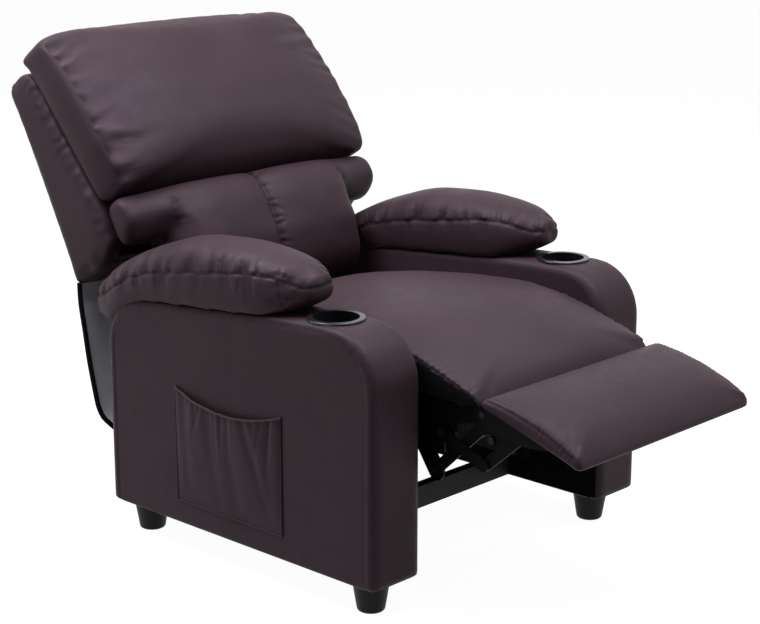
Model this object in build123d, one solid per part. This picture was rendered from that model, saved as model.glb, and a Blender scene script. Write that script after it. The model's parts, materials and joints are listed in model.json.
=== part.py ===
"""Push-back recliner armchair, shown with its footrest out and its back reclined.

Millimetres, +Z up. The sitter faces -Y, so the sitter's right hand is at -X.
While it is being built, y = 0 is the front face of the arms and z = 0 is the floor.
At the end everything is moved along Y, so that the origin lies under the middle of the chair.
"""

import math
import os

from build123d import *

# Clearances
RUNNING_CLEARANCE = 0.06
FASTENER_CLEARANCE = 0.3
SEWN_GAP = 0.3
PLATE_GAP = 1.0

# Arms
ARM_THICKNESS = 110
ARM_LENGTH = 642
ARM_TOP_Z = 481
ARM_LEVEL_Y = 180
ARM_REAR_DROP = 37
ARM_FRONT_RADIUS = 92
ARM_CROWN_RADIUS = 1200
ARM_REAR_RADIUS = 95
ARM_EDGE_RADIUS = 12
COVER_WALL = 12
FRAME_RIM = 36
FRAME_WEB = 12

# Feet
FOOT_HEIGHT = 61
FOOT_TOP_RADIUS = 33
FOOT_BOTTOM_RADIUS = 23
FOOT_EDGE_RADIUS = 6
FOOT_STUD_RADIUS = 4
FOOT_STUD_LENGTH = 24
FOOT_FRONT_Y = 52
FOOT_REAR_INSET = 36

# Cup holders
CUP_Y = 128
CUP_RADIUS = 38
CUP_WALL = 2
CUP_DEPTH = 66
CUP_RIM_RADIUS = 48
CUP_RIM_HEIGHT = 4
CUP_RIM_EDGE = 1.5

# Arm pads: distance behind the pad's front, rise of underside and crown over the deck, half width
PAD_FRONT_Y = 169
PAD_STATIONS = [
    (0, 16, 44, 34),
    (14, 2, 74, 56),
    (55, -3, 98, 65),
    (160, -4, 112, 67),
    (280, -4, 109, 66),
    (390, -4, 83, 63),
    (455, -3, 58, 55),
    (500, 1, 30, 38),
]
PAD_SHOULDER_SHARE = 0.72
PAD_BULGE = 9
PAD_REAR_FALL_Y = 596
PAD_REAR_FALL = 0.55

# Pocket on the outside of the right arm
POCKET_FRONT_Y = 203
POCKET_REAR_Y = 466
POCKET_BOTTOM_Z = 102
POCKET_TOP_Z = 309
POCKET_SAG = 23
POCKET_MOUTH = 11
POCKET_FOOT = 4
POCKET_CLOTH = 2.5
POCKET_SEAM = 7

# Cross rails between the arms
RAIL_THICKNESS = 20
RAIL_HEIGHT = 41
FRONT_RAIL_Y = 203
REAR_RAIL_INSET = 52

# Swing linkage between base and seat
SWING_LENGTH = 175
SWING_LEAN = 22
SWING_FRONT_Y = 180
SWING_REAR_Y = 480
SWING_PIVOT_Z = 120
SWING_WIDTH = 26
SWING_THICKNESS = 5
STEEL = 4
BASE_PLATE_HEIGHT = 34
BASE_PLATE_END = 34
BASE_PLATE_CORNER = 12
SWING_SPACER = 7
STUD_RADIUS = 6
STUD_COLLAR_RADIUS = 11
STUD_HEAD = 3
BOLT_RADIUS = 4
BOLT_HEAD_RADIUS = 8
BOLT_HEAD = 3
BOLT_GRIP = 22
BOLT_INSET = 62

# Seat frame and cushion
SEAT_FRAME_HALF = 196
MECHANISM_ROOM = 44
SEAT_RAIL_WIDTH = 30
SEAT_RAIL_TOP_Z = 365
SEAT_RAIL_HEIGHT = 60
SEAT_FRONT_Y = -95
SEAT_REAR_Y = 545
SEAT_PLATE_TOP_Z = 352
SEAT_PLATE_HEIGHT = 52
SEAT_PLATE_LOWER_Z = 264
SEAT_PLATE_FRONT_Y = -45
SEAT_SIDE_GAP = 8
DUST_CLOTH = 1.5
DUST_MARGIN = 8
SPRING_COUNT = 4
SPRING_WIRE = 3.6
SPRING_PITCH = 29
SPRING_SWING = 20
SPRING_BEND = 8
SPRING_DROP = 6

# Seat cushion: place, edge height and crown height over the rails, half width drawn in
CUSHION_STATIONS = [
    (-114, 3, 5, 22),
    (-104, 11, 17, 8),
    (-60, 38, 54, 1),
    (10, 64, 84, 0),
    (134, 86, 107, 0),
    (300, 75, 94, 0),
    (450, 52, 66, 1),
    (530, 26, 32, 8),
    (544, 12, 15, 20),
]
CUSHION_BULGE = 10
SIDE_SWELL_SHARE = 0.4

# Footrest
FOOTREST_HINGE_Y = -112
FOOTREST_HINGE_Z = 352
FOOTREST_SLOPE = 17.3
FOOTREST_HALF = 231
FOOTREST_BOARD_OFFSET = 18.3
FOOTREST_BOARD = 10
FOOTREST_BOARD_START = 8
FOOTREST_BOARD_END = 184
FOOTREST_BOARD_MARGIN = 9
FOOTREST_FLANGE = 20
FOOTREST_FLANGE_THICKNESS = 3
FOOTREST_FLANGE_END = 150
FOOTREST_BRACKET_DEPTH = 24
FOOTREST_LUG = 26
# Footrest pad: distance from the hinge line, edge and crown height over the board, drawn in
FOOTREST_STATIONS = [
    (9, 2, 3, 10),
    (24, 9, 13, 3),
    (60, 13, 28, 0),
    (110, 14, 32, 0),
    (160, 13, 24, 1),
    (189, 11, 13, 4),
    (199, 2, 3, 14),
]
FOOTREST_BULGE = 4

# Footrest linkage: pivots on the seat, knees, and ends under the footrest, all with the footrest out
LINK_WIDTH = 20
LINK_PIN_RADIUS = 5
LINK_COLLAR_RADIUS = 8
LINK_TAB_WIDTH = 34
REAR_LINK_PIVOT = (-4, 231)
REAR_LINK_KNEE = (-104, 326)
REAR_LINK_END = (-150, 339)
FRONT_LINK_PIVOT = (-22, 302)
FRONT_LINK_KNEE = (-112, 266)
FRONT_LINK_END = (-183, 328)

# Back: u runs up along the back from its hinge, v runs forward out of it
BACK_HINGE_Y = 612
BACK_HINGE_Z = 342
BACK_LEAN = 36
BACK_FRAME_FRONT = 15
BACK_POST_DEPTH = 55
BACK_POST_TOP_DEPTH = 27
BACK_POST_WIDTH = 36
BACK_POST_BOTTOM = 172
BACK_POST_TOP = 530
BACK_RAIL_HEIGHT = 42
BACK_RAIL_DEPTH = 26
BACK_PANEL_THICKNESS = 24
BACK_PANEL_BOTTOM = -26
BACK_BRACKET_WIDTH = 30
BACK_BRACKET_TOP = 150
WING_OUTER_X = 322
WING_THICKNESS = 42
WING_EDGE_RADIUS = 12
WING_CORNER_RADIUS = 16
WING_BOTTOM_REAR = (168, -67)
WING_TOP_REAR = (551, -13)
WING_TOP = (556, 32)
WING_TOP_FRONT = (530, 57)
WING_WIDEST = (248, 76)
WING_BOTTOM_FRONT = (166, 62)
WING_BOTTOM = (158, -6)
FOAM_BOTTOM = (20, 46)
FOAM_LOWER_MARGIN = 8
FOAM_STEP = 184
REAR_PANEL = 4
REAR_PANEL_MARGIN = 6

# Head pillow: half widths of its sections, with how far each is drawn in all round
HEAD_BOTTOM = 250
HEAD_TOP = 562
HEAD_TOP_BULGE = 23
HEAD_TOP_DEPTH = 88
HEAD_FRONT_BULGE = 118
HEAD_BOTTOM_DEPTH = 58
HEAD_BOTTOM_BULGE = 4
HEAD_STATIONS = [(320, 26), (302, 8), (210, 1), (0, 0)]

# Lumbar cushion: distance up the back, half width drawn in, front of its two panels, and the seam between
LUMBAR_ARM_GAP = 24
LUMBAR_STATIONS = [
    (34, 18, 30, 24),
    (52, 6, 60, 44),
    (110, 2, 82, 52),
    (180, 0, 74, 46),
    (232, 2, 36, 26),
    (242, 10, 14, 10),
]
LUMBAR_SIDE_SHARE = 0.5
LUMBAR_EAR_X = 310
LUMBAR_EAR_ROOT = 26
LUMBAR_EAR_BOTTOM = 186
LUMBAR_EAR_TOP = 240
LUMBAR_EAR_DEPTH = 25
LUMBAR_EAR_TAPER = 9

# Flap that hangs from the back's lower rear edge, as points of its outer face
FLAP_HALF = 318
FLAP_CLOTH = 2.5
FLAP_MIDDLE = (750, 306)
FLAP_BEND = (727, 199)
FLAP_HEM = (693, 137)

# Places worked out from the sizes above
ARM_INNER_X = SEAT_FRAME_HALF + MECHANISM_ROOM
ARM_OUTER_X = ARM_INNER_X + ARM_THICKNESS
ARM_CENTRE_X = ARM_OUTER_X - ARM_THICKNESS / 2
CUP_OUTER_RADIUS = CUP_RADIUS + CUP_WALL
CUP_HOLE_RADIUS = CUP_OUTER_RADIUS + SEWN_GAP
FRAME_INSET = COVER_WALL + SEWN_GAP
BASE_PLATE_X = ARM_INNER_X - STEEL
SWING_OUTER_X = BASE_PLATE_X - SWING_SPACER
SWING_INNER_X = SWING_OUTER_X - SWING_THICKNESS
SEAT_PLATE_X = SEAT_FRAME_HALF
SEAT_RAIL_BOTTOM_Z = SEAT_RAIL_TOP_Z - SEAT_RAIL_HEIGHT
INNER_LINK_X = SEAT_PLATE_X + STEEL + PLATE_GAP
OUTER_LINK_X = INNER_LINK_X + STEEL + PLATE_GAP
FOOTREST_BRACKET_X = OUTER_LINK_X + STEEL + PLATE_GAP
BACK_BRACKET_X = SEAT_PLATE_X - PLATE_GAP - STEEL
WING_INNER_X = WING_OUTER_X - WING_THICKNESS
REAR_RAIL_Y = ARM_LENGTH - REAR_RAIL_INSET
FOAM_LOWER_HALF = SEAT_FRAME_HALF + FOAM_LOWER_MARGIN
LUMBAR_HALF = ARM_INNER_X - LUMBAR_ARM_GAP
LUMBAR_EAR_INNER_X = LUMBAR_HALF - LUMBAR_EAR_ROOT
FIXED_STUD_HOLE = STUD_RADIUS + FASTENER_CLEARANCE
TURNING_STUD_HOLE = STUD_RADIUS + RUNNING_CLEARANCE
FIXED_PIN_HOLE = LINK_PIN_RADIUS + FASTENER_CLEARANCE
TURNING_PIN_HOLE = LINK_PIN_RADIUS + RUNNING_CLEARANCE

FOOTREST_PLANE = Plane(
    origin=(0, FOOTREST_HINGE_Y, FOOTREST_HINGE_Z),
    x_dir=(0, -math.cos(math.radians(FOOTREST_SLOPE)), -math.sin(math.radians(FOOTREST_SLOPE))),
    z_dir=(-1, 0, 0),
)
BACK_UP = Vector(0, math.sin(math.radians(BACK_LEAN)), math.cos(math.radians(BACK_LEAN)))
BACK_HINGE = Vector(0, BACK_HINGE_Y, BACK_HINGE_Z)
BACK_PLANE = Plane(origin=BACK_HINGE, x_dir=BACK_UP, z_dir=(1, 0, 0))

parts = {}


def rounded(points, radii):
    """A face through the points, with each corner rounded to its radius."""
    face = make_face(Polyline(*points, close=True))
    for point, radius in zip(points, radii):
        if radius:
            face = fillet(face.vertices().sort_by_distance(Vector(*point))[0], radius)
    return face


def slab(outline, x_from, x_to, plane=Plane.YZ):
    """A side-view outline made solid between two distances from the chair's middle."""
    return extrude(plane.offset(x_from) * outline, x_to - x_from)


def disc(centre, radius):
    return Pos(*centre) * Circle(radius)


def bar(start, end, width):
    """A flat bar's outline with round ends on two pivots."""
    along = Vector(*end) - Vector(*start)
    middle = (Vector(*end) + Vector(*start)) / 2
    turn = math.degrees(math.atan2(along.Y, along.X))
    return Pos(middle) * Rot(0, 0, turn) * SlotCenterToCenter(along.length, width)


def block(x_from, x_to, y_from, y_to, z_from, z_to):
    centre = Pos((x_from + x_to) / 2, (y_from + y_to) / 2, (z_from + z_to) / 2)
    return centre * Box(x_to - x_from, y_to - y_from, z_to - z_from)


def both_sides(name, left_part):
    """One piece on the sitter's left, and its mirror image on the right."""
    parts["left_" + name] = left_part
    parts["right_" + name] = mirror(left_part, about=Plane.YZ)


def mirrored_group(solids):
    return Compound(children=[*solids, *[mirror(solid, about=Plane.YZ) for solid in solids]])


def pillow_section(plane, half, shoulder, crown, bulge):
    """A cushion's cross section: flat underside, sides that swell a little and a crowned top."""
    inner = half - min(bulge, shoulder * SIDE_SWELL_SHARE)
    middle = shoulder / 2
    return plane * make_face(
        [
            Line((-inner, 0), (inner, 0)),
            ThreePointArc((inner, 0), (half, middle), (inner, shoulder)),
            ThreePointArc((inner, shoulder), (0, crown), (-inner, shoulder)),
            ThreePointArc((-inner, shoulder), (-half, middle), (-inner, 0)),
        ]
    )


def swing_top(pivot_y):
    lean = math.radians(SWING_LEAN)
    return (pivot_y - SWING_LENGTH * math.sin(lean), SWING_PIVOT_Z + SWING_LENGTH * math.cos(lean))


# Arms: a padded cover over a wooden frame
def arm_outline(inset, bottom_z):
    top_z = ARM_TOP_Z - inset
    rear_y = ARM_LENGTH - inset
    points = [
        (inset, bottom_z),
        (inset, top_z),
        (ARM_LEVEL_Y, top_z),
        (rear_y, top_z - ARM_REAR_DROP),
        (rear_y, bottom_z),
    ]
    return rounded(points, [0, ARM_FRONT_RADIUS - inset, ARM_CROWN_RADIUS, ARM_REAR_RADIUS - inset, 0])


def bolt_places():
    return [(y, SWING_PIVOT_Z) for y in (SWING_FRONT_Y + BOLT_INSET, SWING_REAR_Y - BOLT_INSET)]


def foot_places():
    return (FOOT_FRONT_Y, ARM_LENGTH - FOOT_REAR_INSET)


def bolt_holes():
    holes = [disc(place, BOLT_RADIUS + FASTENER_CLEARANCE) for place in bolt_places()]
    return slab(Sketch() + holes, BASE_PLATE_X, BASE_PLATE_X + STEEL + BOLT_GRIP + SEWN_GAP)


def make_arms():
    cup_hole = Pos(ARM_CENTRE_X, CUP_Y, ARM_TOP_Z - CUP_DEPTH / 2)
    cup_hole *= Cylinder(CUP_HOLE_RADIUS, CUP_DEPTH * 1.5)
    cover = slab(arm_outline(0, FOOT_HEIGHT), ARM_INNER_X, ARM_OUTER_X)
    rim = [
        edge
        for face in cover.faces().filter_by(Axis.X)
        for edge in face.edges()
        if edge.center().Z > FOOT_HEIGHT + ARM_EDGE_RADIUS
    ]
    cover = fillet(rim, ARM_EDGE_RADIUS)
    inside = arm_outline(COVER_WALL, FOOT_HEIGHT - COVER_WALL)
    cover -= slab(inside, ARM_INNER_X + COVER_WALL, ARM_OUTER_X - COVER_WALL)
    both_sides("arm_cover", cover - cup_hole - bolt_holes())

    inner_x = ARM_INNER_X + FRAME_INSET
    outer_x = ARM_OUTER_X - FRAME_INSET
    frame = slab(arm_outline(FRAME_INSET, FOOT_HEIGHT), inner_x, outer_x)
    hollow = arm_outline(FRAME_INSET + FRAME_RIM, FOOT_HEIGHT + FRAME_RIM)
    frame -= slab(hollow, inner_x + FRAME_WEB, outer_x)
    for y in foot_places():
        stud_hole = Cylinder(FOOT_STUD_RADIUS + FASTENER_CLEARANCE, 2 * FOOT_STUD_LENGTH + SEWN_GAP)
        frame -= Pos(ARM_CENTRE_X, y, FOOT_HEIGHT) * stud_hole
    both_sides("arm_frame", frame - cup_hole - bolt_holes())


def make_feet():
    wall = [
        (0, 0),
        (FOOT_BOTTOM_RADIUS, 0),
        (FOOT_TOP_RADIUS, FOOT_HEIGHT),
        (FOOT_STUD_RADIUS, FOOT_HEIGHT),
        (FOOT_STUD_RADIUS, FOOT_HEIGHT + FOOT_STUD_LENGTH),
        (0, FOOT_HEIGHT + FOOT_STUD_LENGTH),
    ]
    outline = rounded(wall, [0, FOOT_EDGE_RADIUS, 0, 0, 0, 0])
    foot = revolve(Plane.XZ * outline, Axis.Z)
    for name, y in zip(("front_foot", "rear_foot"), foot_places()):
        both_sides(name, Pos(ARM_CENTRE_X, y, 0) * foot)


def make_cup_holders():
    well = Pos(0, 0, -CUP_DEPTH / 2) * Cylinder(CUP_OUTER_RADIUS, CUP_DEPTH)
    rim = Pos(0, 0, CUP_RIM_HEIGHT / 2) * Cylinder(CUP_RIM_RADIUS, CUP_RIM_HEIGHT)
    cup = fillet(rim.edges().sort_by(Axis.Z)[-1], CUP_RIM_EDGE) + well
    hollow_depth = CUP_DEPTH - CUP_WALL + CUP_RIM_HEIGHT
    cup -= Pos(0, 0, CUP_RIM_HEIGHT - hollow_depth / 2) * Cylinder(CUP_RADIUS, hollow_depth)
    both_sides("cup_holder", Pos(ARM_CENTRE_X, CUP_Y, ARM_TOP_Z) * cup)


# Arm pads: long pillows that rest on the arms' sloping tops
def deck_height(y):
    slope = ARM_REAR_DROP / (ARM_LENGTH - ARM_LEVEL_Y)
    fall = max(0, y - ARM_LEVEL_Y) * slope
    past = max(0, y - PAD_REAR_FALL_Y) * PAD_REAR_FALL
    return ARM_TOP_Z - fall - past


def make_arm_pads():
    sections = []
    for along, underside, crown, half in PAD_STATIONS:
        y = PAD_FRONT_Y + along
        origin = (ARM_CENTRE_X, y, deck_height(y) + underside)
        rise = crown - underside
        plane = Plane(origin=origin, x_dir=(1, 0, 0), z_dir=(0, -1, 0))
        sections.append(pillow_section(plane, half, rise * PAD_SHOULDER_SHARE, rise, PAD_BULGE))
    seat_x = (ARM_INNER_X - SEWN_GAP, ARM_OUTER_X + SEWN_GAP)
    both_sides("arm_pad", loft(sections) - slab(arm_outline(-SEWN_GAP, FOOT_HEIGHT), *seat_x))


def make_side_pocket():
    corners = [(POCKET_REAR_Y, POCKET_TOP_Z), (POCKET_REAR_Y, POCKET_BOTTOM_Z)]
    corners += [(POCKET_FRONT_Y, POCKET_BOTTOM_Z), (POCKET_FRONT_Y, POCKET_TOP_Z)]
    dip = ((POCKET_FRONT_Y + POCKET_REAR_Y) / 2, POCKET_TOP_Z - POCKET_SAG)
    outline = make_face([Polyline(*corners), ThreePointArc(corners[-1], dip, corners[0])])
    panel = slab(outline, -ARM_OUTER_X - POCKET_MOUTH, -ARM_OUTER_X)
    reach = POCKET_REAR_Y - POCKET_FRONT_Y

    def wedge(bottom_z, foot, mouth, y_margin):
        points = [
            (-ARM_OUTER_X, bottom_z),
            (-ARM_OUTER_X, POCKET_TOP_Z),
            (-ARM_OUTER_X - mouth, POCKET_TOP_Z),
            (-ARM_OUTER_X - foot, bottom_z),
        ]
        face = Plane.XZ.offset(-POCKET_REAR_Y + y_margin) * make_face(Polyline(*points, close=True))
        return extrude(face, reach - 2 * y_margin)

    bag = panel & wedge(POCKET_BOTTOM_Z, POCKET_FOOT, POCKET_MOUTH, 0)
    inside = wedge(
        POCKET_BOTTOM_Z + POCKET_SEAM, POCKET_FOOT - POCKET_CLOTH, POCKET_MOUTH - POCKET_CLOTH, POCKET_SEAM
    )
    parts["side_pocket"] = bag - inside


# Base: cross rails and pivot plates between the arms
def make_base():
    low = FOOT_HEIGHT
    high = FOOT_HEIGHT + RAIL_HEIGHT
    for name, y in (("front_cross_rail", FRONT_RAIL_Y), ("rear_cross_rail", REAR_RAIL_Y)):
        parts[name] = block(-ARM_INNER_X, ARM_INNER_X, y, y + RAIL_THICKNESS, low, high)

    length = SWING_REAR_Y - SWING_FRONT_Y + 2 * BASE_PLATE_END
    middle = ((SWING_FRONT_Y + SWING_REAR_Y) / 2, SWING_PIVOT_Z)
    outline = Pos(*middle) * RectangleRounded(length, BASE_PLATE_HEIGHT, BASE_PLATE_CORNER)
    both_sides("base_plate", slab(outline, BASE_PLATE_X, ARM_INNER_X) - bolt_holes())

    head_x = BASE_PLATE_X - BOLT_HEAD
    bolts = [
        slab(disc(place, BOLT_HEAD_RADIUS), head_x, BASE_PLATE_X)
        + slab(disc(place, BOLT_RADIUS), BASE_PLATE_X, ARM_INNER_X + BOLT_GRIP)
        for place in bolt_places()
    ]
    parts["base_plate_bolts"] = mirrored_group(bolts)

    studs = []
    for y in (SWING_FRONT_Y, SWING_REAR_Y):
        place = (y, SWING_PIVOT_Z)
        inner_x = SWING_INNER_X - PLATE_GAP / 2
        stud = slab(disc(place, STUD_RADIUS), inner_x, BASE_PLATE_X)
        stud += slab(disc(place, STUD_COLLAR_RADIUS), inner_x - STUD_HEAD, inner_x)
        stud += slab(disc(place, STUD_COLLAR_RADIUS), SWING_OUTER_X + PLATE_GAP / 2, BASE_PLATE_X)
        studs.append(stud)
    parts["base_pivot_studs"] = mirrored_group(studs)


def make_swing_arms():
    for name, y in (("front_swing_arm", SWING_FRONT_Y), ("rear_swing_arm", SWING_REAR_Y)):
        ends = [(y, SWING_PIVOT_Z), swing_top(y)]
        outline = bar(*ends, SWING_WIDTH)
        for place in ends:
            outline -= disc(place, TURNING_STUD_HOLE)
        both_sides(name, slab(outline, SWING_INNER_X, SWING_OUTER_X))


# Seat: wooden rails, springs, side plates of steel, cushion
def make_seat_frame():
    half = SEAT_FRAME_HALF
    inner = half - SEAT_RAIL_WIDTH
    low = SEAT_RAIL_BOTTOM_Z
    high = SEAT_RAIL_TOP_Z
    front = SEAT_FRONT_Y + SEAT_RAIL_WIDTH
    rear = SEAT_REAR_Y - SEAT_RAIL_WIDTH
    parts["seat_front_rail"] = block(-half, half, SEAT_FRONT_Y, front, low, high)
    parts["seat_rear_rail"] = block(-inner, inner, rear, SEAT_REAR_Y, low, high)
    both_sides("seat_rail", block(inner, half, front, SEAT_REAR_Y, low, high))
    parts["seat_dust_cloth"] = block(
        -half + DUST_MARGIN,
        half - DUST_MARGIN,
        SEAT_FRONT_Y + DUST_MARGIN,
        SEAT_REAR_Y - DUST_MARGIN,
        low - DUST_CLOTH,
        low,
    )

    rungs = int((rear - front) / SPRING_PITCH) - 1
    margin = (rear - front - (rungs - 1) * SPRING_PITCH) / 2
    springs = []
    for number in range(SPRING_COUNT):
        x = ((number + 0.5) / SPRING_COUNT - 0.5) * 2 * inner
        points = [(x, front + SEWN_GAP)]
        for rung in range(rungs):
            y = front + margin + rung * SPRING_PITCH
            side = SPRING_SWING if rung % 2 else -SPRING_SWING
            before = x if rung == 0 else x - side
            after = x if rung == rungs - 1 else x + side
            points += [(before, y), (after, y)]
        points.append((x, rear - SEWN_GAP))
        path = Pos(0, 0, high - SPRING_DROP) * FilletPolyline(*points, radius=SPRING_BEND)
        start = Plane(origin=path @ 0, z_dir=path % 0)
        springs.append(sweep(start * Circle(SPRING_WIRE / 2), path))
    parts["seat_springs"] = Compound(children=springs)


def make_seat_plates():
    rear_y = BACK_HINGE_Y + SEAT_PLATE_HEIGHT / 2
    upper = ((SEAT_PLATE_FRONT_Y + rear_y) / 2, SEAT_PLATE_TOP_Z - SEAT_PLATE_HEIGHT / 2)
    outline = Pos(*upper) * Rectangle(rear_y - SEAT_PLATE_FRONT_Y, SEAT_PLATE_HEIGHT)
    front_top = swing_top(SWING_FRONT_Y)
    rear_top = swing_top(SWING_REAR_Y)
    lower_front = FRONT_LINK_PIVOT[0]
    lower_rear = rear_top[0] + SWING_WIDTH
    lower_height = SEAT_PLATE_TOP_Z - SEAT_PLATE_LOWER_Z
    lower = ((lower_front + lower_rear) / 2, SEAT_PLATE_LOWER_Z + lower_height / 2)
    outline += Pos(*lower) * Rectangle(lower_rear - lower_front, lower_height)
    hinge = (FOOTREST_HINGE_Y, FOOTREST_HINGE_Z)
    outline += bar(hinge, (FRONT_LINK_PIVOT[0], upper[1]), FOOTREST_LUG)
    tab_root = (REAR_LINK_PIVOT[0] + LINK_TAB_WIDTH, SEAT_PLATE_LOWER_Z + LINK_TAB_WIDTH / 2)
    outline += bar(REAR_LINK_PIVOT, tab_root, LINK_TAB_WIDTH)
    stud_places = [front_top, rear_top]
    link_places = [REAR_LINK_PIVOT, FRONT_LINK_PIVOT, hinge]
    back_place = (BACK_HINGE_Y, BACK_HINGE_Z)
    for place in stud_places + [back_place]:
        outline -= disc(place, FIXED_STUD_HOLE)
    for place in link_places:
        outline -= disc(place, FIXED_PIN_HOLE)
    outer_x = SEAT_PLATE_X + STEEL
    both_sides("seat_plate", slab(outline, SEAT_PLATE_X, outer_x))

    pins = []
    for place in stud_places:
        collar_end = SWING_INNER_X - PLATE_GAP / 2
        head = SWING_OUTER_X + PLATE_GAP / 2
        stud = slab(disc(place, STUD_RADIUS), SEAT_PLATE_X, head)
        stud += slab(disc(place, STUD_COLLAR_RADIUS), outer_x, collar_end)
        pins.append(stud + slab(disc(place, STUD_COLLAR_RADIUS), head, head + STUD_HEAD))
    link_ends = [INNER_LINK_X, OUTER_LINK_X, FOOTREST_BRACKET_X]
    for place, link_x in zip(link_places, link_ends):
        pin = slab(disc(place, LINK_PIN_RADIUS), SEAT_PLATE_X, link_x + STEEL)
        pins.append(pin + slab(disc(place, LINK_COLLAR_RADIUS), outer_x, link_x - PLATE_GAP / 2))
    back_pin = slab(disc(back_place, STUD_RADIUS), BACK_BRACKET_X, outer_x)
    pins.append(back_pin + slab(disc(back_place, STUD_COLLAR_RADIUS), outer_x, outer_x + STUD_HEAD))
    parts["seat_pivot_pins"] = mirrored_group(pins)


def make_seat_cushion():
    half = ARM_INNER_X - SEAT_SIDE_GAP
    sections = []
    for y, edge, crown, drawn_in in CUSHION_STATIONS:
        plane = Plane(origin=(0, y, SEAT_RAIL_TOP_Z + SEWN_GAP), x_dir=(1, 0, 0), z_dir=(0, -1, 0))
        sections.append(pillow_section(plane, half - drawn_in, edge, crown, CUSHION_BULGE))
    parts["seat_cushion"] = loft(sections)


# Footrest: board, pad and steel brackets, hinged at the seat's front edge
def footrest_local(place):
    """A side-view place in the footrest's own axes: out from the hinge, and up from it."""
    local = FOOTREST_PLANE.to_local_coords(Vector(0, *place))
    return (local.X, local.Y)


def make_footrest():
    half = FOOTREST_HALF - FOOTREST_BOARD_MARGIN
    bottom = FOOTREST_BOARD_OFFSET
    top = bottom + FOOTREST_BOARD
    board = make_face(
        Polyline(
            (FOOTREST_BOARD_START, bottom),
            (FOOTREST_BOARD_END, bottom),
            (FOOTREST_BOARD_END, top),
            (FOOTREST_BOARD_START, top),
            close=True,
        )
    )
    parts["footrest_board"] = slab(board, -half, half, FOOTREST_PLANE)

    along = FOOTREST_PLANE.x_dir
    up = FOOTREST_PLANE.y_dir
    sections = []
    for out, edge, crown, drawn_in in FOOTREST_STATIONS:
        origin = FOOTREST_PLANE.origin + along * out + up * (top + SEWN_GAP)
        plane = Plane(origin=origin, x_dir=(1, 0, 0), z_dir=along)
        sections.append(pillow_section(plane, FOOTREST_HALF - drawn_in, edge, crown, FOOTREST_BULGE))
    parts["footrest_pad"] = loft(sections)

    flange_start = FOOTREST_BOARD_START
    deep = bottom - FOOTREST_BRACKET_DEPTH
    front_end = footrest_local(FRONT_LINK_END)
    rear_end = footrest_local(REAR_LINK_END)
    web = make_face(
        Polyline(
            (flange_start, bottom),
            (FOOTREST_FLANGE_END, bottom),
            (front_end[0] + LINK_WIDTH, deep),
            (rear_end[0], deep - FOOTREST_BRACKET_DEPTH / 2),
            (0, -FOOTREST_LUG / 2),
            close=True,
        )
    )
    web += disc((0, 0), FOOTREST_LUG / 2)
    web += disc(rear_end, LINK_WIDTH / 2) + disc(front_end, LINK_WIDTH / 2)
    web -= disc((0, 0), TURNING_PIN_HOLE)
    outer_x = FOOTREST_BRACKET_X + STEEL
    bracket = slab(web, -outer_x, -FOOTREST_BRACKET_X, FOOTREST_PLANE)
    flange = make_face(
        Polyline(
            (flange_start, bottom - FOOTREST_FLANGE_THICKNESS),
            (FOOTREST_FLANGE_END, bottom - FOOTREST_FLANGE_THICKNESS),
            (FOOTREST_FLANGE_END, bottom),
            (flange_start, bottom),
            close=True,
        )
    )
    bracket += slab(flange, -outer_x, -outer_x + FOOTREST_FLANGE, FOOTREST_PLANE)
    both_sides("footrest_bracket", bracket)


def make_footrest_links():
    """Two two-bar chains a side. Each ends in a rivet that stops just short of the footrest bracket."""
    hole = TURNING_PIN_HOLE
    pin = LINK_PIN_RADIUS
    rivet_x = FOOTREST_BRACKET_X - PLATE_GAP / 2
    inner = (INNER_LINK_X, INNER_LINK_X + STEEL)
    outer = (OUTER_LINK_X, OUTER_LINK_X + STEEL)

    rear_lower = bar(REAR_LINK_PIVOT, REAR_LINK_KNEE, LINK_WIDTH) - disc(REAR_LINK_PIVOT, hole)
    knee_pin = slab(disc(REAR_LINK_KNEE, pin), inner[0], outer[1])
    both_sides("rear_lower_link", slab(rear_lower, *inner) + knee_pin)

    rear_upper = bar(REAR_LINK_KNEE, REAR_LINK_END, LINK_WIDTH) - disc(REAR_LINK_KNEE, hole)
    rivet = slab(disc(REAR_LINK_END, LINK_COLLAR_RADIUS), outer[0], rivet_x)
    both_sides("rear_upper_link", slab(rear_upper, *outer) + rivet)

    front_lower = bar(FRONT_LINK_PIVOT, FRONT_LINK_KNEE, LINK_WIDTH) - disc(FRONT_LINK_PIVOT, hole)
    knee_pin = slab(disc(FRONT_LINK_KNEE, pin), inner[0], outer[1])
    both_sides("front_lower_link", slab(front_lower, *outer) + knee_pin)

    front_upper = bar(FRONT_LINK_KNEE, FRONT_LINK_END, LINK_WIDTH) - disc(FRONT_LINK_KNEE, hole)
    rivet = slab(disc(FRONT_LINK_END, LINK_COLLAR_RADIUS), inner[0], rivet_x)
    both_sides("front_upper_link", slab(front_upper, *inner) + rivet)


# Back: wooden frame, wings, foam and the two cushions
def back_slab(points, x_from, x_to):
    return slab(make_face(Polyline(*points, close=True)), x_from, x_to, BACK_PLANE)


def back_box(x_from, x_to, u_from, u_to, v_from, v_to):
    points = [(u_from, v_from), (u_to, v_from), (u_to, v_to), (u_from, v_to)]
    return back_slab(points, x_from, x_to)


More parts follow.
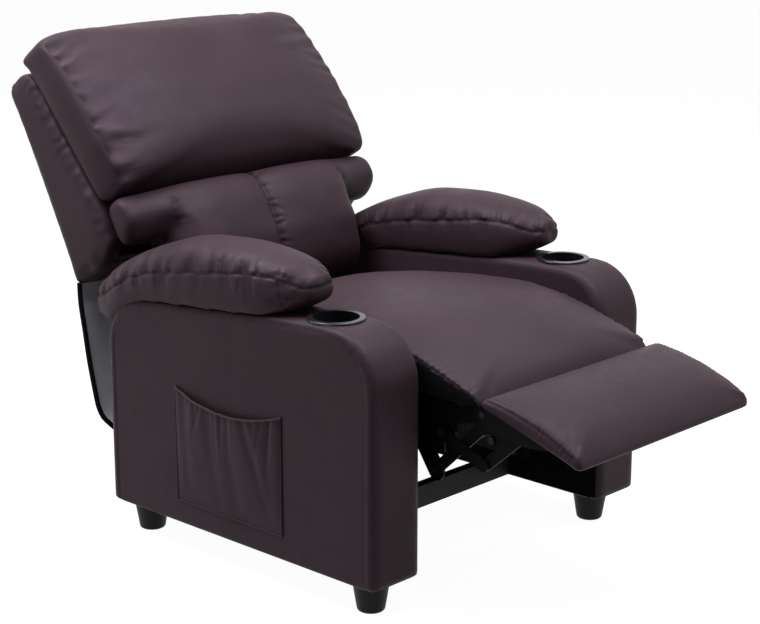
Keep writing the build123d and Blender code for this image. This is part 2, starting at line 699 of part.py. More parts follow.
def make_back_frame():
    front = BACK_FRAME_FRONT
    post_inner = WING_INNER_X - BACK_POST_WIDTH
    post = [
        (BACK_POST_BOTTOM, front),
        (BACK_POST_TOP, front),
        (BACK_POST_TOP, front - BACK_POST_TOP_DEPTH),
        (BACK_POST_BOTTOM, front - BACK_POST_DEPTH),
    ]
    both_sides("back_post", back_slab(post, post_inner, WING_INNER_X))
    top_rail = (BACK_POST_TOP - BACK_RAIL_HEIGHT, BACK_POST_TOP)
    low_rail = (BACK_POST_BOTTOM, BACK_POST_BOTTOM + BACK_RAIL_HEIGHT)
    for name, (low, high) in (("back_top_rail", top_rail), ("back_lower_rail", low_rail)):
        parts[name] = back_box(-post_inner, post_inner, low, high, front - BACK_RAIL_DEPTH, front)
    panel_rear = front - BACK_PANEL_THICKNESS
    parts["back_lower_panel"] = back_box(
        -BACK_BRACKET_X, BACK_BRACKET_X, BACK_PANEL_BOTTOM, BACK_POST_BOTTOM, panel_rear, front
    )
    outline = bar((0, 0), (BACK_BRACKET_TOP, 0), BACK_BRACKET_WIDTH) - disc((0, 0), TURNING_STUD_HOLE)
    both_sides("back_bracket", slab(outline, BACK_BRACKET_X, BACK_BRACKET_X + STEEL, BACK_PLANE))


def make_wings():
    points = [WING_BOTTOM_REAR, WING_TOP_REAR, WING_TOP, WING_TOP_FRONT]
    points += [WING_WIDEST, WING_BOTTOM_FRONT, WING_BOTTOM]
    radius = WING_CORNER_RADIUS
    outline = rounded(points, [radius / 2, radius, radius, radius, 0, radius, radius])
    wing = slab(outline, WING_INNER_X, WING_OUTER_X, BACK_PLANE)
    outer_edges = wing.faces().sort_by(Axis.X)[-1].edges()
    both_sides("wing", fillet(outer_edges, WING_EDGE_RADIUS))


def wing_rear(u):
    """How far back the wings' rear edge stands, at a distance up the back."""
    low = WING_BOTTOM_REAR
    high = WING_TOP_REAR
    return low[1] + (high[1] - low[1]) * (u - low[0]) / (high[0] - low[0])


def make_rear_panel():
    """The back's rear cover, folded forward over the top rail and under the lower one."""
    low = WING_BOTTOM_REAR[0]
    high = WING_TOP_REAR[0]
    corners = ((low, 0), (high, 0), (high, REAR_PANEL), (low, REAR_PANEL))
    sheet = [(u, wing_rear(u) - offset) for u, offset in corners]
    half = WING_OUTER_X - REAR_PANEL_MARGIN
    panel = back_slab(sheet, -half, half)
    fold_half = WING_INNER_X - SEWN_GAP
    top = BACK_POST_TOP + SEWN_GAP
    bottom = BACK_POST_BOTTOM - SEWN_GAP - REAR_PANEL
    top_front = wing_front(top) - REAR_PANEL
    bottom_front = BACK_FRAME_FRONT - BACK_PANEL_THICKNESS - SEWN_GAP
    for u, front in ((top, top_front), (bottom, bottom_front)):
        panel += back_box(-fold_half, fold_half, u, u + REAR_PANEL, wing_rear(u), front)
    parts["rear_back_panel"] = panel
    return Vector(low, wing_rear(low) - REAR_PANEL)


def wing_front(u):
    """How far forward the wings' front edge stands, at a distance up the back."""
    low = WING_WIDEST
    high = WING_TOP_FRONT
    return low[1] + (high[1] - low[1]) * (u - low[0]) / (high[0] - low[0])


def make_back_foam():
    rear = BACK_FRAME_FRONT + SEWN_GAP
    half = WING_INNER_X - SEWN_GAP
    top_front = (BACK_POST_TOP, wing_front(BACK_POST_TOP))
    step_front = (FOAM_STEP, WING_BOTTOM_FRONT[1])
    upper = [(FOAM_STEP, rear), (BACK_POST_TOP, rear), top_front, WING_WIDEST, step_front]
    lower = [(FOAM_BOTTOM[0], rear), (FOAM_STEP, rear), step_front, FOAM_BOTTOM]
    foam = back_slab(upper, -half, half) + back_slab(lower, -FOAM_LOWER_HALF, FOAM_LOWER_HALF)
    parts["back_foam"] = foam


def make_head_pillow():
    sections = []
    widths = HEAD_STATIONS + [(-x, drawn_in) for x, drawn_in in reversed(HEAD_STATIONS[:-1])]
    for x, drawn_in in widths:
        low = HEAD_BOTTOM + drawn_in
        high = HEAD_TOP - drawn_in
        low_rear = (low, wing_front(low) + SEWN_GAP)
        high_rear = (high, wing_front(high) + SEWN_GAP)
        high_front = (high + HEAD_TOP_BULGE / 3, high_rear[1] + HEAD_TOP_DEPTH - drawn_in)
        low_front = (low + HEAD_BOTTOM_BULGE, low_rear[1] + HEAD_BOTTOM_DEPTH - drawn_in)
        top = (high + HEAD_TOP_BULGE, (high_rear[1] + high_front[1]) / 2)
        belly = ((low + high) / 2, wing_front((low + high) / 2) + HEAD_FRONT_BULGE - drawn_in)
        under = (low - HEAD_BOTTOM_BULGE, (low_rear[1] + low_front[1]) / 2)
        sections.append(
            BACK_PLANE.offset(x)
            * make_face(
                [
                    Line(low_rear, high_rear),
                    ThreePointArc(high_rear, top, high_front),
                    ThreePointArc(high_front, belly, low_front),
                    ThreePointArc(low_front, under, low_rear),
                ]
            )
        )
    parts["head_pillow"] = loft(sections)


def lumbar_rear(u):
    low = FOAM_BOTTOM
    high = WING_WIDEST
    return low[1] + (high[1] - low[1]) * (u - low[0]) / (high[0] - low[0]) + SEWN_GAP


def make_lumbar_cushion():
    sections = []
    for u, drawn_in, front, seam in LUMBAR_STATIONS:
        half = LUMBAR_HALF - drawn_in
        plane = Plane(origin=BACK_HINGE + BACK_UP * u, x_dir=(1, 0, 0), z_dir=-BACK_UP)
        rear = lumbar_rear(u)
        side = rear + front * LUMBAR_SIDE_SHARE
        shoulder = half - front * LUMBAR_SIDE_SHARE * SIDE_SWELL_SHARE
        sections.append(
            plane
            * make_face(
                [
                    Line((-shoulder, rear), (shoulder, rear)),
                    ThreePointArc((shoulder, rear), (half, (rear + side) / 2), (shoulder, side)),
                    ThreePointArc((shoulder, side), (half / 2, rear + front), (0, rear + seam)),
                    ThreePointArc((0, rear + seam), (-half / 2, rear + front), (-shoulder, side)),
                    ThreePointArc((-shoulder, side), (-half, (rear + side) / 2), (-shoulder, rear)),
                ]
            )
        )
    cushion = loft(sections)

    ears = []
    ear_rear = WING_WIDEST[1] + SEWN_GAP
    ear_shoulder_x = LUMBAR_EAR_X - LUMBAR_EAR_TAPER
    ear_places = ((LUMBAR_EAR_INNER_X, 0), (ear_shoulder_x, 1), (LUMBAR_EAR_X, LUMBAR_EAR_TAPER))
    for x, taper in ear_places:
        low = (LUMBAR_EAR_BOTTOM + taper, ear_rear)
        high = (LUMBAR_EAR_TOP - taper, ear_rear)
        bulge = ((low[0] + high[0]) / 2, ear_rear + LUMBAR_EAR_DEPTH - taper)
        section = make_face([Line(low, high), ThreePointArc(high, bulge, low)])
        ears.append(BACK_PLANE.offset(x) * section)
    ear = loft(ears, ruled=True)
    parts["lumbar_cushion"] = cushion + ear + mirror(ear, about=Plane.YZ)


def make_flap(hang_point):
    """A sheet that hangs from the rear panel's lower edge and curls forward to its hem."""
    top = BACK_PLANE.from_local_coords(hang_point)
    start = (top.Y, top.Z)
    upper = ThreePointArc(start, FLAP_MIDDLE, FLAP_BEND)
    lower = TangentArc(FLAP_BEND, FLAP_HEM, tangent=upper % 1)
    shift = Vector(-FLAP_CLOTH, 0)
    path = [upper, lower]
    inner = [Pos(shift) * edge for edge in path]
    ends = [Line(start, Vector(*start) + shift), Line(FLAP_HEM, Vector(*FLAP_HEM) + shift)]
    parts["rear_flap"] = slab(make_face([*path, *inner, *ends]), -FLAP_HALF, FLAP_HALF)


def main():
    make_arms()
    make_feet()
    make_cup_holders()
    make_arm_pads()
    make_side_pocket()
    make_base()
    make_swing_arms()
    make_seat_frame()
    make_seat_plates()
    make_seat_cushion()
    make_footrest()
    make_footrest_links()
    make_back_frame()
    make_wings()
    hang_point = make_rear_panel()
    make_back_foam()
    make_head_pillow()
    make_lumbar_cushion()
    make_flap(hang_point)

    boxes = [part.bounding_box() for part in parts.values()]
    front = min(box.min.Y for box in boxes)
    rear = max(box.max.Y for box in boxes)
    shift = -(front + rear) / 2
    print(f"moved along Y by {shift:.3f} mm")

    os.makedirs("parts", exist_ok=True)
    for name, part in parts.items():
        export_step(Pos(0, shift, 0) * part, f"parts/{name}.step")
    print(f"{len(parts)} pieces")


main()
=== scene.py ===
# %% [markdown]
# # A push-back recliner in dark synthetic leather
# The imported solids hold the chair's construction. This lesson dresses them: every cushion, cover and
# sheet is modelled as soft goods, and every bare part gets a material. Each step says what the piece is
# on the real chair, how it could be made, and why it is made this way.

# %% Load the frame
import json
import math

import bmesh
import bpy
import numpy as np
from mathutils import Matrix, Vector
from mathutils.bvhtree import BVHTree
from mathutils.kdtree import KDTree


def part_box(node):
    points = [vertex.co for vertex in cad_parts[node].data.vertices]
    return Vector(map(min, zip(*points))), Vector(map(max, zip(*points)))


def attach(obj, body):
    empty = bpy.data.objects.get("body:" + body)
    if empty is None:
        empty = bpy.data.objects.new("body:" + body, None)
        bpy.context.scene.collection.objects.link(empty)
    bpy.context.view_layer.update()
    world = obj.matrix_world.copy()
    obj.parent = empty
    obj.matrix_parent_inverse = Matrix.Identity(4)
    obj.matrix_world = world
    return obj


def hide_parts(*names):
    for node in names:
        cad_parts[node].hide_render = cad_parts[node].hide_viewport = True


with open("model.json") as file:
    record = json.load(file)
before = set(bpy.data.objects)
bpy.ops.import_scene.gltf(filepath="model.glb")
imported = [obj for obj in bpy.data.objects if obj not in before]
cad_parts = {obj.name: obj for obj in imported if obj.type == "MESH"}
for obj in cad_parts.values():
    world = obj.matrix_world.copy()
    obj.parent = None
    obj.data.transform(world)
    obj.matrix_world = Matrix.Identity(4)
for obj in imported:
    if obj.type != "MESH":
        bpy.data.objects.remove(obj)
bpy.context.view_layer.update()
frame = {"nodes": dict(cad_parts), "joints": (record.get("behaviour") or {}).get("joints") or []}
scene = bpy.context.scene
MM = 0.001
SIDES = {"right": -1, "left": 1}

# %% [markdown]
# ## The camera
# The photograph was taken from the chair's front right corner, a little above the head pillow, with a
# long lens. Parallel edges of the arms give the direction, and the known width gives the distance.

# %% Camera at the photograph's place
CAMERA_PLACE = (-2.3924, -2.2645, 1.2575)
CAMERA_AZIMUTH = -46.69
CAMERA_PITCH = 14.55
CAMERA_LENS = 89.73
CAMERA_SENSOR = 36

camera = bpy.data.objects.new("camera", bpy.data.cameras.new("camera"))
camera.data.lens = CAMERA_LENS
camera.data.sensor_width = CAMERA_SENSOR
camera.location = CAMERA_PLACE
camera.rotation_euler = (math.radians(90 - CAMERA_PITCH), 0, math.radians(CAMERA_AZIMUTH))
scene.collection.objects.link(camera)
scene.camera = camera
print("camera", [round(v, 3) for v in camera.location])

# %% [markdown]
# ## Light and floor
# The photograph is a cut-out on white. Broad lamps from above and in front give the soft light that
# dark leather needs: their reflections draw the shapes. The floor and world look white to the camera,
# which costs the object no extra light.

# %% Colours and nodes
def linear(hex_colour):
    """An sRGB hex colour as the linear RGBA that shaders expect."""
    parts = [int(hex_colour[i:i + 2], 16) / 255 for i in (1, 3, 5)]
    return (*[c / 12.92 if c <= 0.04045 else ((c + 0.055) / 1.055) ** 2.4 for c in parts], 1)


def add(tree, kind, settings=None, sockets=None):
    """Adds a node: settings are its own properties, sockets are values or outputs to link."""
    made = tree.nodes.new(kind)
    for name, value in (settings or {}).items():
        setattr(made, name, value)
    for name, value in (sockets or {}).items():
        if isinstance(value, bpy.types.NodeSocket):
            tree.links.new(value, made.inputs[name])
        else:
            made.inputs[name].default_value = value
    return made


def new_material(name):
    """An empty node material and its tree."""
    material = bpy.data.materials.new(name)
    material.use_nodes = True
    material.node_tree.nodes.clear()
    return material, material.node_tree


def background_rays(tree):
    """1 on rays that should see a plain white background."""
    path = add(tree, "ShaderNodeLightPath").outputs
    seen = add(tree, "ShaderNodeMath", {"operation": "MAXIMUM"},
               {0: path["Is Camera Ray"], 1: path["Is Transmission Ray"]})
    return add(tree, "ShaderNodeMath", {"operation": "MAXIMUM"},
               {0: seen.outputs[0], 1: path["Is Glossy Ray"]}).outputs[0]


def blend(tree, factor, first, second):
    """A colour between two others. Each colour is a hex string or an output."""
    ends = [linear(c) if isinstance(c, str) else c for c in (first, second)]
    return add(tree, "ShaderNodeMix", {"data_type": "RGBA"},
               {"Factor": factor, 6: ends[0], 7: ends[1]}).outputs[2]


def surface(tree, sockets):
    """Ends a material with one Principled shader."""
    skin = add(tree, "ShaderNodeBsdfPrincipled", None, sockets)
    add(tree, "ShaderNodeOutputMaterial", None, {"Surface": skin.outputs[0]})


# %% World, floor and lamps
WORLD_GREY = "#8a8c90"
WORLD_STRENGTH = 0.15
FLOOR_COLOUR = "#7e7c7c"
FLOOR_GLOW = 0.97
FLOOR_HALF = 16.0

scene.view_settings.view_transform = "Standard"
world = bpy.data.worlds.new("studio")
scene.world = world
world.use_nodes = True
tree = world.node_tree
tree.nodes.clear()
fill_light = add(tree, "ShaderNodeBackground", None,
                 {"Color": linear(WORLD_GREY), "Strength": WORLD_STRENGTH})
white = add(tree, "ShaderNodeBackground", None, {"Color": (1, 1, 1, 1), "Strength": 1})
mixed = add(tree, "ShaderNodeMixShader", None,
            {0: background_rays(tree), 1: fill_light.outputs[0], 2: white.outputs[0]})
add(tree, "ShaderNodeOutputWorld", None, {"Surface": mixed.outputs[0]})

floor_material, tree = new_material("painted studio floor")
paint = add(tree, "ShaderNodeBsdfDiffuse", None, {"Color": linear(FLOOR_COLOUR)})
share = add(tree, "ShaderNodeMath", {"operation": "MULTIPLY"}, {0: background_rays(tree), 1: FLOOR_GLOW})
glow = add(tree, "ShaderNodeEmission", None, {"Color": (1, 1, 1, 1), "Strength": share.outputs[0]})
both = add(tree, "ShaderNodeAddShader", None, {0: paint.outputs[0], 1: glow.outputs[0]})
add(tree, "ShaderNodeOutputMaterial", None, {"Surface": both.outputs[0]})

bm = bmesh.new()
bmesh.ops.create_grid(bm, x_segments=1, y_segments=1, size=FLOOR_HALF)
floor_mesh = bpy.data.meshes.new("floor")
bm.to_mesh(floor_mesh)
bm.free()
floor = bpy.data.objects.new("floor", floor_mesh)
floor.data.materials.append(floor_material)
scene.collection.objects.link(floor)

LAMP_TARGET = Vector((0, 0, 0.45))
LAMP_TINT = (0.94, 0.92, 1.0)
LAMPS = {
    "key": ((-0.9, 0.75, 2.3), 1.3, 74),
    "top": ((0.3, -0.7, 2.5), 1.5, 63),
    "front": ((1.6, -2.6, 2.2), 1.8, 8),
}
for name, (place, size, power) in LAMPS.items():
    lamp = bpy.data.lights.new(name, "AREA")
    lamp.size = size
    lamp.energy = power
    lamp.color = LAMP_TINT
    holder = bpy.data.objects.new(name, lamp)
    holder.location = place
    holder.rotation_euler = (LAMP_TARGET - Vector(place)).to_track_quat("-Z", "Y").to_euler()
    scene.collection.objects.link(holder)
print("lamps:", len(LAMPS))

# %% [markdown]
# ## Synthetic leather
# The cover is PU leather: a coloured polyurethane skin on a knitted backing, pressed with a fine pebble
# grain. It reads as a satin surface whose tops turn grey in the light. The grain is a Voronoi pattern,
# and a point attribute named crease, written by the shaping steps, darkens folds with painted shade and
# lightens ridges with wear and a painted highlight.

# %% Leather material
LEATHER_COLOUR = "#35282c"
LEATHER_MOTTLE_AND_FOLD_SHADE = "#20161a"
LEATHER_WEAR_AND_HIGHLIGHT = "#54434c"
LEATHER_SHEEN = "#f2ecff"
GRAIN_MM = 2.2
MOTTLE_MM = 140
SCUFF_MM = 28


def per_metre(size_mm):
    """A texture scale for cells of a real size, on coordinates in metres."""
    return 1000 / size_mm


def object_place(tree):
    return add(tree, "ShaderNodeTexCoord").outputs["Object"]


def noise(tree, place, size_mm, detail, roughness=0.5):
    return add(tree, "ShaderNodeTexNoise", None,
               {"Vector": place, "Scale": per_metre(size_mm), "Detail": detail,
                "Roughness": roughness}).outputs["Fac"]


def ranged(tree, value, start, end):
    """A value taken from one range to another, each given as its two ends."""
    return add(tree, "ShaderNodeMapRange", None,
               {"Value": value, "From Min": start[0], "From Max": start[1],
                "To Min": end[0], "To Max": end[1]}).outputs[0]


def bumped(tree, height, strength, distance):
    return add(tree, "ShaderNodeBump", None,
               {"Height": height, "Strength": strength, "Distance": distance}).outputs[0]


def leather(name, colour, dark, wear_and_highlight, roughness):
    """Embossed PU leather. The pebbles are a little coarser than the real 1 mm, so that they show."""
    material, tree = new_material(name)
    place = object_place(tree)
    crease = add(tree, "ShaderNodeAttribute", {"attribute_name": "crease"}).outputs["Fac"]
    tone = ranged(tree, noise(tree, place, MOTTLE_MM, 3, 0.55), (0.3, 0.7), (0.0, 0.35))
    ground = blend(tree, tone, colour, dark)
    # Painted shade: where the crease attribute marks a fold, the colour darkens towards the dark tone.
    fold_shaded = blend(tree, ranged(tree, crease, (-1.0, 0.0), (0.75, 0.0)), ground, dark)
    scuff = noise(tree, place, SCUFF_MM, 5, 0.65)
    # Wear and a painted highlight: where the crease attribute marks a ridge, the colour lightens, broken up
    # by scuff noise.
    ridge = add(tree, "ShaderNodeMath", {"operation": "MULTIPLY", "use_clamp": True},
                {0: crease, 1: scuff})
    coloured = blend(tree, ridge.outputs[0], fold_shaded, wear_and_highlight)
    gloss = ranged(tree, scuff, (0.3, 0.7), (roughness - 0.05, roughness + 0.07))
    pebble = add(tree, "ShaderNodeTexVoronoi", {"feature": "SMOOTH_F1"},
                 {"Vector": place, "Scale": per_metre(GRAIN_MM), "Smoothness": 0.6, "Randomness": 1.0})
    pore = noise(tree, place, GRAIN_MM * 2, 4, 0.6)
    height = add(tree, "ShaderNodeMath", {"operation": "MULTIPLY_ADD"},
                 {0: pebble.outputs["Distance"], 1: -0.8, 2: pore})
    bump = bumped(tree, height.outputs[0], 0.12, 0.0006)
    surface(tree, {"Base Color": coloured, "Roughness": gloss, "IOR": 1.46,
                   "Specular IOR Level": 0.15, "Specular Tint": linear(LEATHER_SHEEN),
                   "Normal": bump})
    return material


pu_leather = leather("embossed PU leather", LEATHER_COLOUR, LEATHER_MOTTLE_AND_FOLD_SHADE, LEATHER_WEAR_AND_HIGHLIGHT, 0.5)

# %% [markdown]
# ## Cloth, plastic, steel and wood
# Under the seat the chair is closed with black spun-bonded polypropylene, a felt of random fibres. The
# feet and cup holders are moulded plastic with a fine spark-eroded texture. Links and plates are steel
# with black powder paint, the pins are zinc plated, and the inner rails are sawn poplar.

# %% Black dust cloth and flap backing
def fibre_cloth(name, colour, light, fibre_mm, roughness):
    """A felt of short fibres: stretched noise in two directions, with no gloss."""
    material, tree = new_material(name)
    place = object_place(tree)
    fibres = None
    for turn in (0.4, 1.9):
        turned = add(tree, "ShaderNodeMapping", None,
                     {"Vector": place, "Rotation": (turn, turn, turn), "Scale": (1, 6, 1)})
        strand = noise(tree, turned.outputs[0], fibre_mm * 4, 3)
        fibres = strand if fibres is None else add(
            tree, "ShaderNodeMath", {"operation": "MAXIMUM"}, {0: fibres, 1: strand}).outputs[0]
    shade = blend(tree, ranged(tree, fibres, (0.45, 0.75), (0, 1)), colour, light)
    bump = bumped(tree, fibres, 0.3, 0.0005)
    surface(tree, {"Base Color": shade, "Roughness": roughness, "Specular IOR Level": 0.06,
                   "Normal": bump})
    return material


dust_cloth = fibre_cloth("black spun-bonded cloth", "#060607", "#0e0e0f", 1.5, 0.95)
binding_tape = fibre_cloth("black woven binding tape", "#08080a", "#121214", 1.0, 0.8)
flap_backing = fibre_cloth("grey knitted backing", "#cccdd2", "#dcdde1", 1.2, 0.9)


# %% Moulded plastic and painted steel
def grained(name, colour, light, grain_mm, bump_strength, roughness, metallic=0.0, specular=0.5):
    """A fine random grain over a tint that drifts: moulded plastic, powder paint or plating."""
    material, tree = new_material(name)
    place = object_place(tree)
    drift = noise(tree, place, grain_mm * 30, 2)
    tint = blend(tree, drift, colour, light)
    gloss = ranged(tree, drift, (0, 1), (roughness - 0.08, roughness + 0.08))
    bump = bumped(tree, noise(tree, place, grain_mm, 2), bump_strength, 0.0004)
    surface(tree, {"Base Color": tint, "Roughness": gloss, "Metallic": metallic,
                   "Specular IOR Level": specular, "Normal": bump})
    return material


cup_plastic = grained("moulded ABS cup holder", "#151518", "#1f1f23", 1.5, 0.05, 0.15)
foot_plastic = grained("moulded polypropylene foot", "#101112", "#17181a", 1.8, 0.25, 0.5, 0.0, 0.15)
black_steel = grained("black powder-coated steel", "#070708", "#0c0c0d", 1.6, 0.2, 0.5, 0.0, 0.06)
zinc_steel = grained("zinc-plated steel", "#232427", "#323336", 2.0, 0.08, 0.55, 1.0)
black_timber_and_shade = grained("black painted timber", "#0d0d0e", "#161617", 2.5, 0.3, 0.6, 0.0, 0.2)
sewing_thread = grained("bonded polyester thread", "#2a1f22", "#372b2f", 1.0, 0.3, 0.6, 0.0, 0.2)

# %% Sawn poplar
POPLAR_RING_MM = 9


def sawn_wood(name, colour, dark):
    """Sawn poplar: growth rings as a wave along the rail, broken up by noise."""
    material, tree = new_material(name)
    place = object_place(tree)
    rings = add(tree, "ShaderNodeTexWave", {"bands_direction": "Z"},
                {"Vector": place, "Scale": per_metre(POPLAR_RING_MM) / 20, "Distortion": 6, "Detail": 3,
                 "Detail Scale": 1.2})
    tint = blend(tree, rings.outputs["Fac"], colour, dark)
    bump = bumped(tree, rings.outputs["Fac"], 0.1, 0.0005)
    surface(tree, {"Base Color": tint, "Roughness": 0.62, "Normal": bump})
    return material


poplar = sawn_wood("sawn poplar", "#b08b5e", "#8f6c44")
NODE_FINISH = [
    (cup_plastic, ("cup_holder",)),
    (foot_plastic, ("foot",)),
    (black_steel, ("swing_arm", "base_plate", "seat_plate", "link", "bracket")),
    (zinc_steel, ("bolts", "studs", "pins", "springs")),
    # On the back's posts, lower rail and lower panel this black is partly painted shade for the dark gaps
    # beside the lumbar cushion.
    (black_timber_and_shade, ("cross_rail", "seat_front_rail", "left_seat_rail", "right_seat_rail", "board",
                  "post", "lower_rail", "lower_panel")),
    (poplar, ("arm_frame", "seat_rear_rail", "top_rail")),
]
dressed = 0
for node_name, node in frame["nodes"].items():
    for material, endings in NODE_FINISH:
        if node_name.endswith(endings):
            node.data.materials.clear()
            node.data.materials.append(material)
            dressed += 1
print("bare nodes dressed:", dressed)

# %% [markdown]
# ## Tools for soft goods
# All cushions go through the same steps: a simple block, a voxel remesh for even cloth, a cloth
# simulation with air pressure that swells it between its held seams, one subdivision, and then seams
# and gathers pressed into the fine mesh. Each step is one short function.

# %% Points of a mesh as arrays
def points_of(mesh):
    flat = np.empty(len(mesh.vertices) * 3)
    mesh.vertices.foreach_get("co", flat)
    return flat.reshape(-1, 3)


def set_points(mesh, points):
    mesh.vertices.foreach_set("co", points.ravel())
    mesh.update()


def normals_of(mesh):
    flat = np.empty(len(mesh.vertices) * 3, np.float32)
    mesh.vertex_normals.foreach_get("vector", flat)
    return flat.reshape(-1, 3).astype(float)


def ease(t):
    """A share that starts and ends gently."""
    t = np.clip(t, 0, 1)
    return t * t * (3 - 2 * t)


def bell(t):
    return np.exp(-np.square(t))


# %% Objects from bmeshes
def make_piece(name, bm, matrix=Matrix()):
    """An object at the origin, with its place in its mesh."""
    mesh = bpy.data.meshes.new(name)
    bm.to_mesh(mesh)
    bm.free()
    mesh.transform(matrix)
    piece = bpy.data.objects.new(name, mesh)
    scene.collection.objects.link(piece)
    return piece


def apply_modifiers(piece):
    settled = piece.evaluated_get(bpy.context.evaluated_depsgraph_get())
    mesh = bpy.data.meshes.new_from_object(settled)
    piece.modifiers.clear()
    old = piece.data
    piece.data = mesh
    mesh.name = piece.name
    bpy.data.meshes.remove(old)


def remesh(piece, voxel):
    modifier = piece.modifiers.new("remesh", "REMESH")
    modifier.mode = "VOXEL"
    modifier.voxel_size = voxel
    apply_modifiers(piece)


def subdivide(piece):
    modifier = piece.modifiers.new("subdivision", "SUBSURF")
    modifier.levels = 1
    modifier.render_levels = 1
    apply_modifiers(piece)


def relax(piece, rounds):
    bm = bmesh.new()
    bm.from_mesh(piece.data)
    for _ in range(rounds):
        bmesh.ops.smooth_vert(bm, verts=bm.verts, factor=0.5,
                              use_axis_x=True, use_axis_y=True, use_axis_z=True)
    bm.to_mesh(piece.data)
    bm.free()


def round_off(bm, geom, affect, radius, segments):
    bmesh.ops.bevel(bm, geom=geom, affect=affect, offset=radius, segments=segments, profile=0.5, material=-1)


def soft_block(low, high, radius):
    """A box with rounded edges between two corners."""
    low = Vector(low)
    high = Vector(high)
    bm = bmesh.new()
    bmesh.ops.create_cube(bm, size=1)
    bmesh.ops.scale(bm, vec=high - low, verts=bm.verts)
    bmesh.ops.translate(bm, vec=(low + high) / 2, verts=bm.verts)
    round_off(bm, bm.edges[:], "EDGES", radius, 5)
    return bm


def face_to(sheet, direction):
    """Turns an open sheet's faces so that most of them look in a direction."""
    bm = bmesh.new()
    bm.from_mesh(sheet.data)
    bmesh.ops.recalc_face_normals(bm, faces=bm.faces[:])
    if sum(f.normal.dot(Vector(direction)) for f in bm.faces) < 0:
        bmesh.ops.reverse_faces(bm, faces=bm.faces[:])
    bm.to_mesh(sheet.data)
    bm.free()


def slab(corners, roundings, thickness, edge_radius, kept_sharp=()):
    """A flat outline of a few corners, rounded, given thickness along +X and rounded along its rim."""
    bm = bmesh.new()
    verts = [bm.verts.new((0, *corner)) for corner in corners]
    face = bm.faces.new(verts)
    for vert, rounding in zip(verts, roundings):
        if rounding:
            round_off(bm, [vert], "VERTICES", rounding, 10)
    face = bm.faces[:][0]
    grown = bmesh.ops.extrude_face_region(bm, geom=[face])["geom"]
    far = [g for g in grown if isinstance(g, bmesh.types.BMVert)]
    bmesh.ops.translate(bm, vec=(thickness, 0, 0), verts=far)
    bmesh.ops.recalc_face_normals(bm, faces=bm.faces[:])
    flats = [f for f in bm.faces if abs(f.normal.x) > 0.9]
    rim = {e for f in flats for e in f.edges if not any(test(e) for test in kept_sharp)}
    round_off(bm, list(rim), "EDGES", edge_radius, 4)
    return bm


def cushion_block(name, low, high, radius, voxel):
    """A rounded block in millimetres, remeshed evenly, as the start of a cushion."""
    piece = make_piece(name, soft_block(low, high, radius), Matrix.Scale(MM, 4))
    remesh(piece, voxel)
    return piece


# %% Cloth that swells
FRAMES = 15


def stuff(piece, held, cap, pressure=4.0):
    """Swells the piece with air, with held points fixed. No point moves further than about cap."""
    start = points_of(piece.data)
    group = piece.vertex_groups.new(name="held")
    for index in np.nonzero(held > 0.02)[0]:
        group.add([int(index)], float(min(held[index], 1)), "REPLACE")
    modifier = piece.modifiers.new("cloth", "CLOTH")
    settings = modifier.settings
    settings.quality = 3
    settings.mass = 0.2
    settings.tension_stiffness = 4
    settings.compression_stiffness = 4
    settings.shear_stiffness = 2
    settings.bending_stiffness = 0.4
    settings.use_pressure = True
    settings.uniform_pressure_force = pressure
    settings.effector_weights.gravity = 0
    settings.vertex_group_mass = group.name
    modifier.collision_settings.use_collision = False
    modifier.point_cache.frame_start = 1
    modifier.point_cache.frame_end = FRAMES
    for number in range(1, FRAMES + 1):
        scene.frame_set(number)
    swollen = points_of(piece.evaluated_get(bpy.context.evaluated_depsgraph_get()).data)
    piece.modifiers.remove(modifier)
    piece.vertex_groups.remove(group)
    scene.frame_set(1)
    move = swollen - start
    length = np.maximum(np.linalg.norm(move, axis=1), 1e-9)
    set_points(piece.data, start + move * (cap * np.tanh(length / cap) / length)[:, None])
    relax(piece, 2)
    print(piece.name, "swelled by up to", round(float(length.max()) * 1000), "mm")


# %% Seams and gathers
PATH_STEP = 2 * MM


def smooth_path(points, closed=False):
    """A curve through a few points, as close points in order."""
    points = [Vector(p) for p in points]
    count = len(points)
    path = []
    for index in range(count if closed else count - 1):
        if closed:
            before, start, end, after = (points[(index + k) % count] for k in (-1, 0, 1, 2))
        else:
            before, start, end, after = (points[min(max(index + k, 0), count - 1)]
                                         for k in (-1, 0, 1, 2))
        steps = max(2, int((end - start).length / PATH_STEP))
        for step in range(steps):
            t = step / steps
            path.append(0.5 * (2 * start + (end - before) * t
                               + (2 * before - 5 * start + 4 * end - after) * t * t
                               + (3 * start - before - 3 * end + after) * t ** 3))
    return path if closed else path + [points[-1]]


def onto(piece, path):
    """The path's points moved to the nearest points of the piece's surface."""
    tree = BVHTree.FromObject(piece, bpy.context.evaluated_depsgraph_get())
    return [tree.find_nearest(point)[0] for point in path]


def along(points, path):
    """For each point: distance to the path, place along it, and the step away from it."""
    tree = KDTree(len(path))
    for index, point in enumerate(path):
        tree.insert(point, index)
    tree.balance()
    nearest = np.array([tree.find(point)[1] for point in points])
    line = np.array(path)
    places = np.concatenate([[0], np.cumsum(np.linalg.norm(np.diff(line, axis=0), axis=1))])
    away = points - line[nearest]
    return np.linalg.norm(away, axis=1), places[nearest], away


def shape_by(piece, lift):
    """Moves the surface along its normals and notes the folds in the crease attribute."""
    mesh = piece.data
    set_points(mesh, points_of(mesh) + normals_of(mesh) * lift[:, None])
    crease = mesh.attributes.get("crease") or mesh.attributes.new("crease", "FLOAT", "POINT")
    noted = np.zeros(len(lift), np.float32)
    crease.data.foreach_get("value", noted)
    crease.data.foreach_set("value", np.clip(noted + lift / (3 * MM), -1, 1).astype(np.float32))


def hold(piece, held, seams, share, width):
    """Adds the points near the piece's seams to those that are held."""
    points = points_of(piece.data)
    for seam in seams:
        held = np.maximum(held, share * bell(along(points, onto(piece, seam))[0] / width))
    return held


def press_seam(piece, path, depth, width):
    distance, _, _ = along(points_of(piece.data), onto(piece, path))
    shape_by(piece, -depth * bell(distance / width))


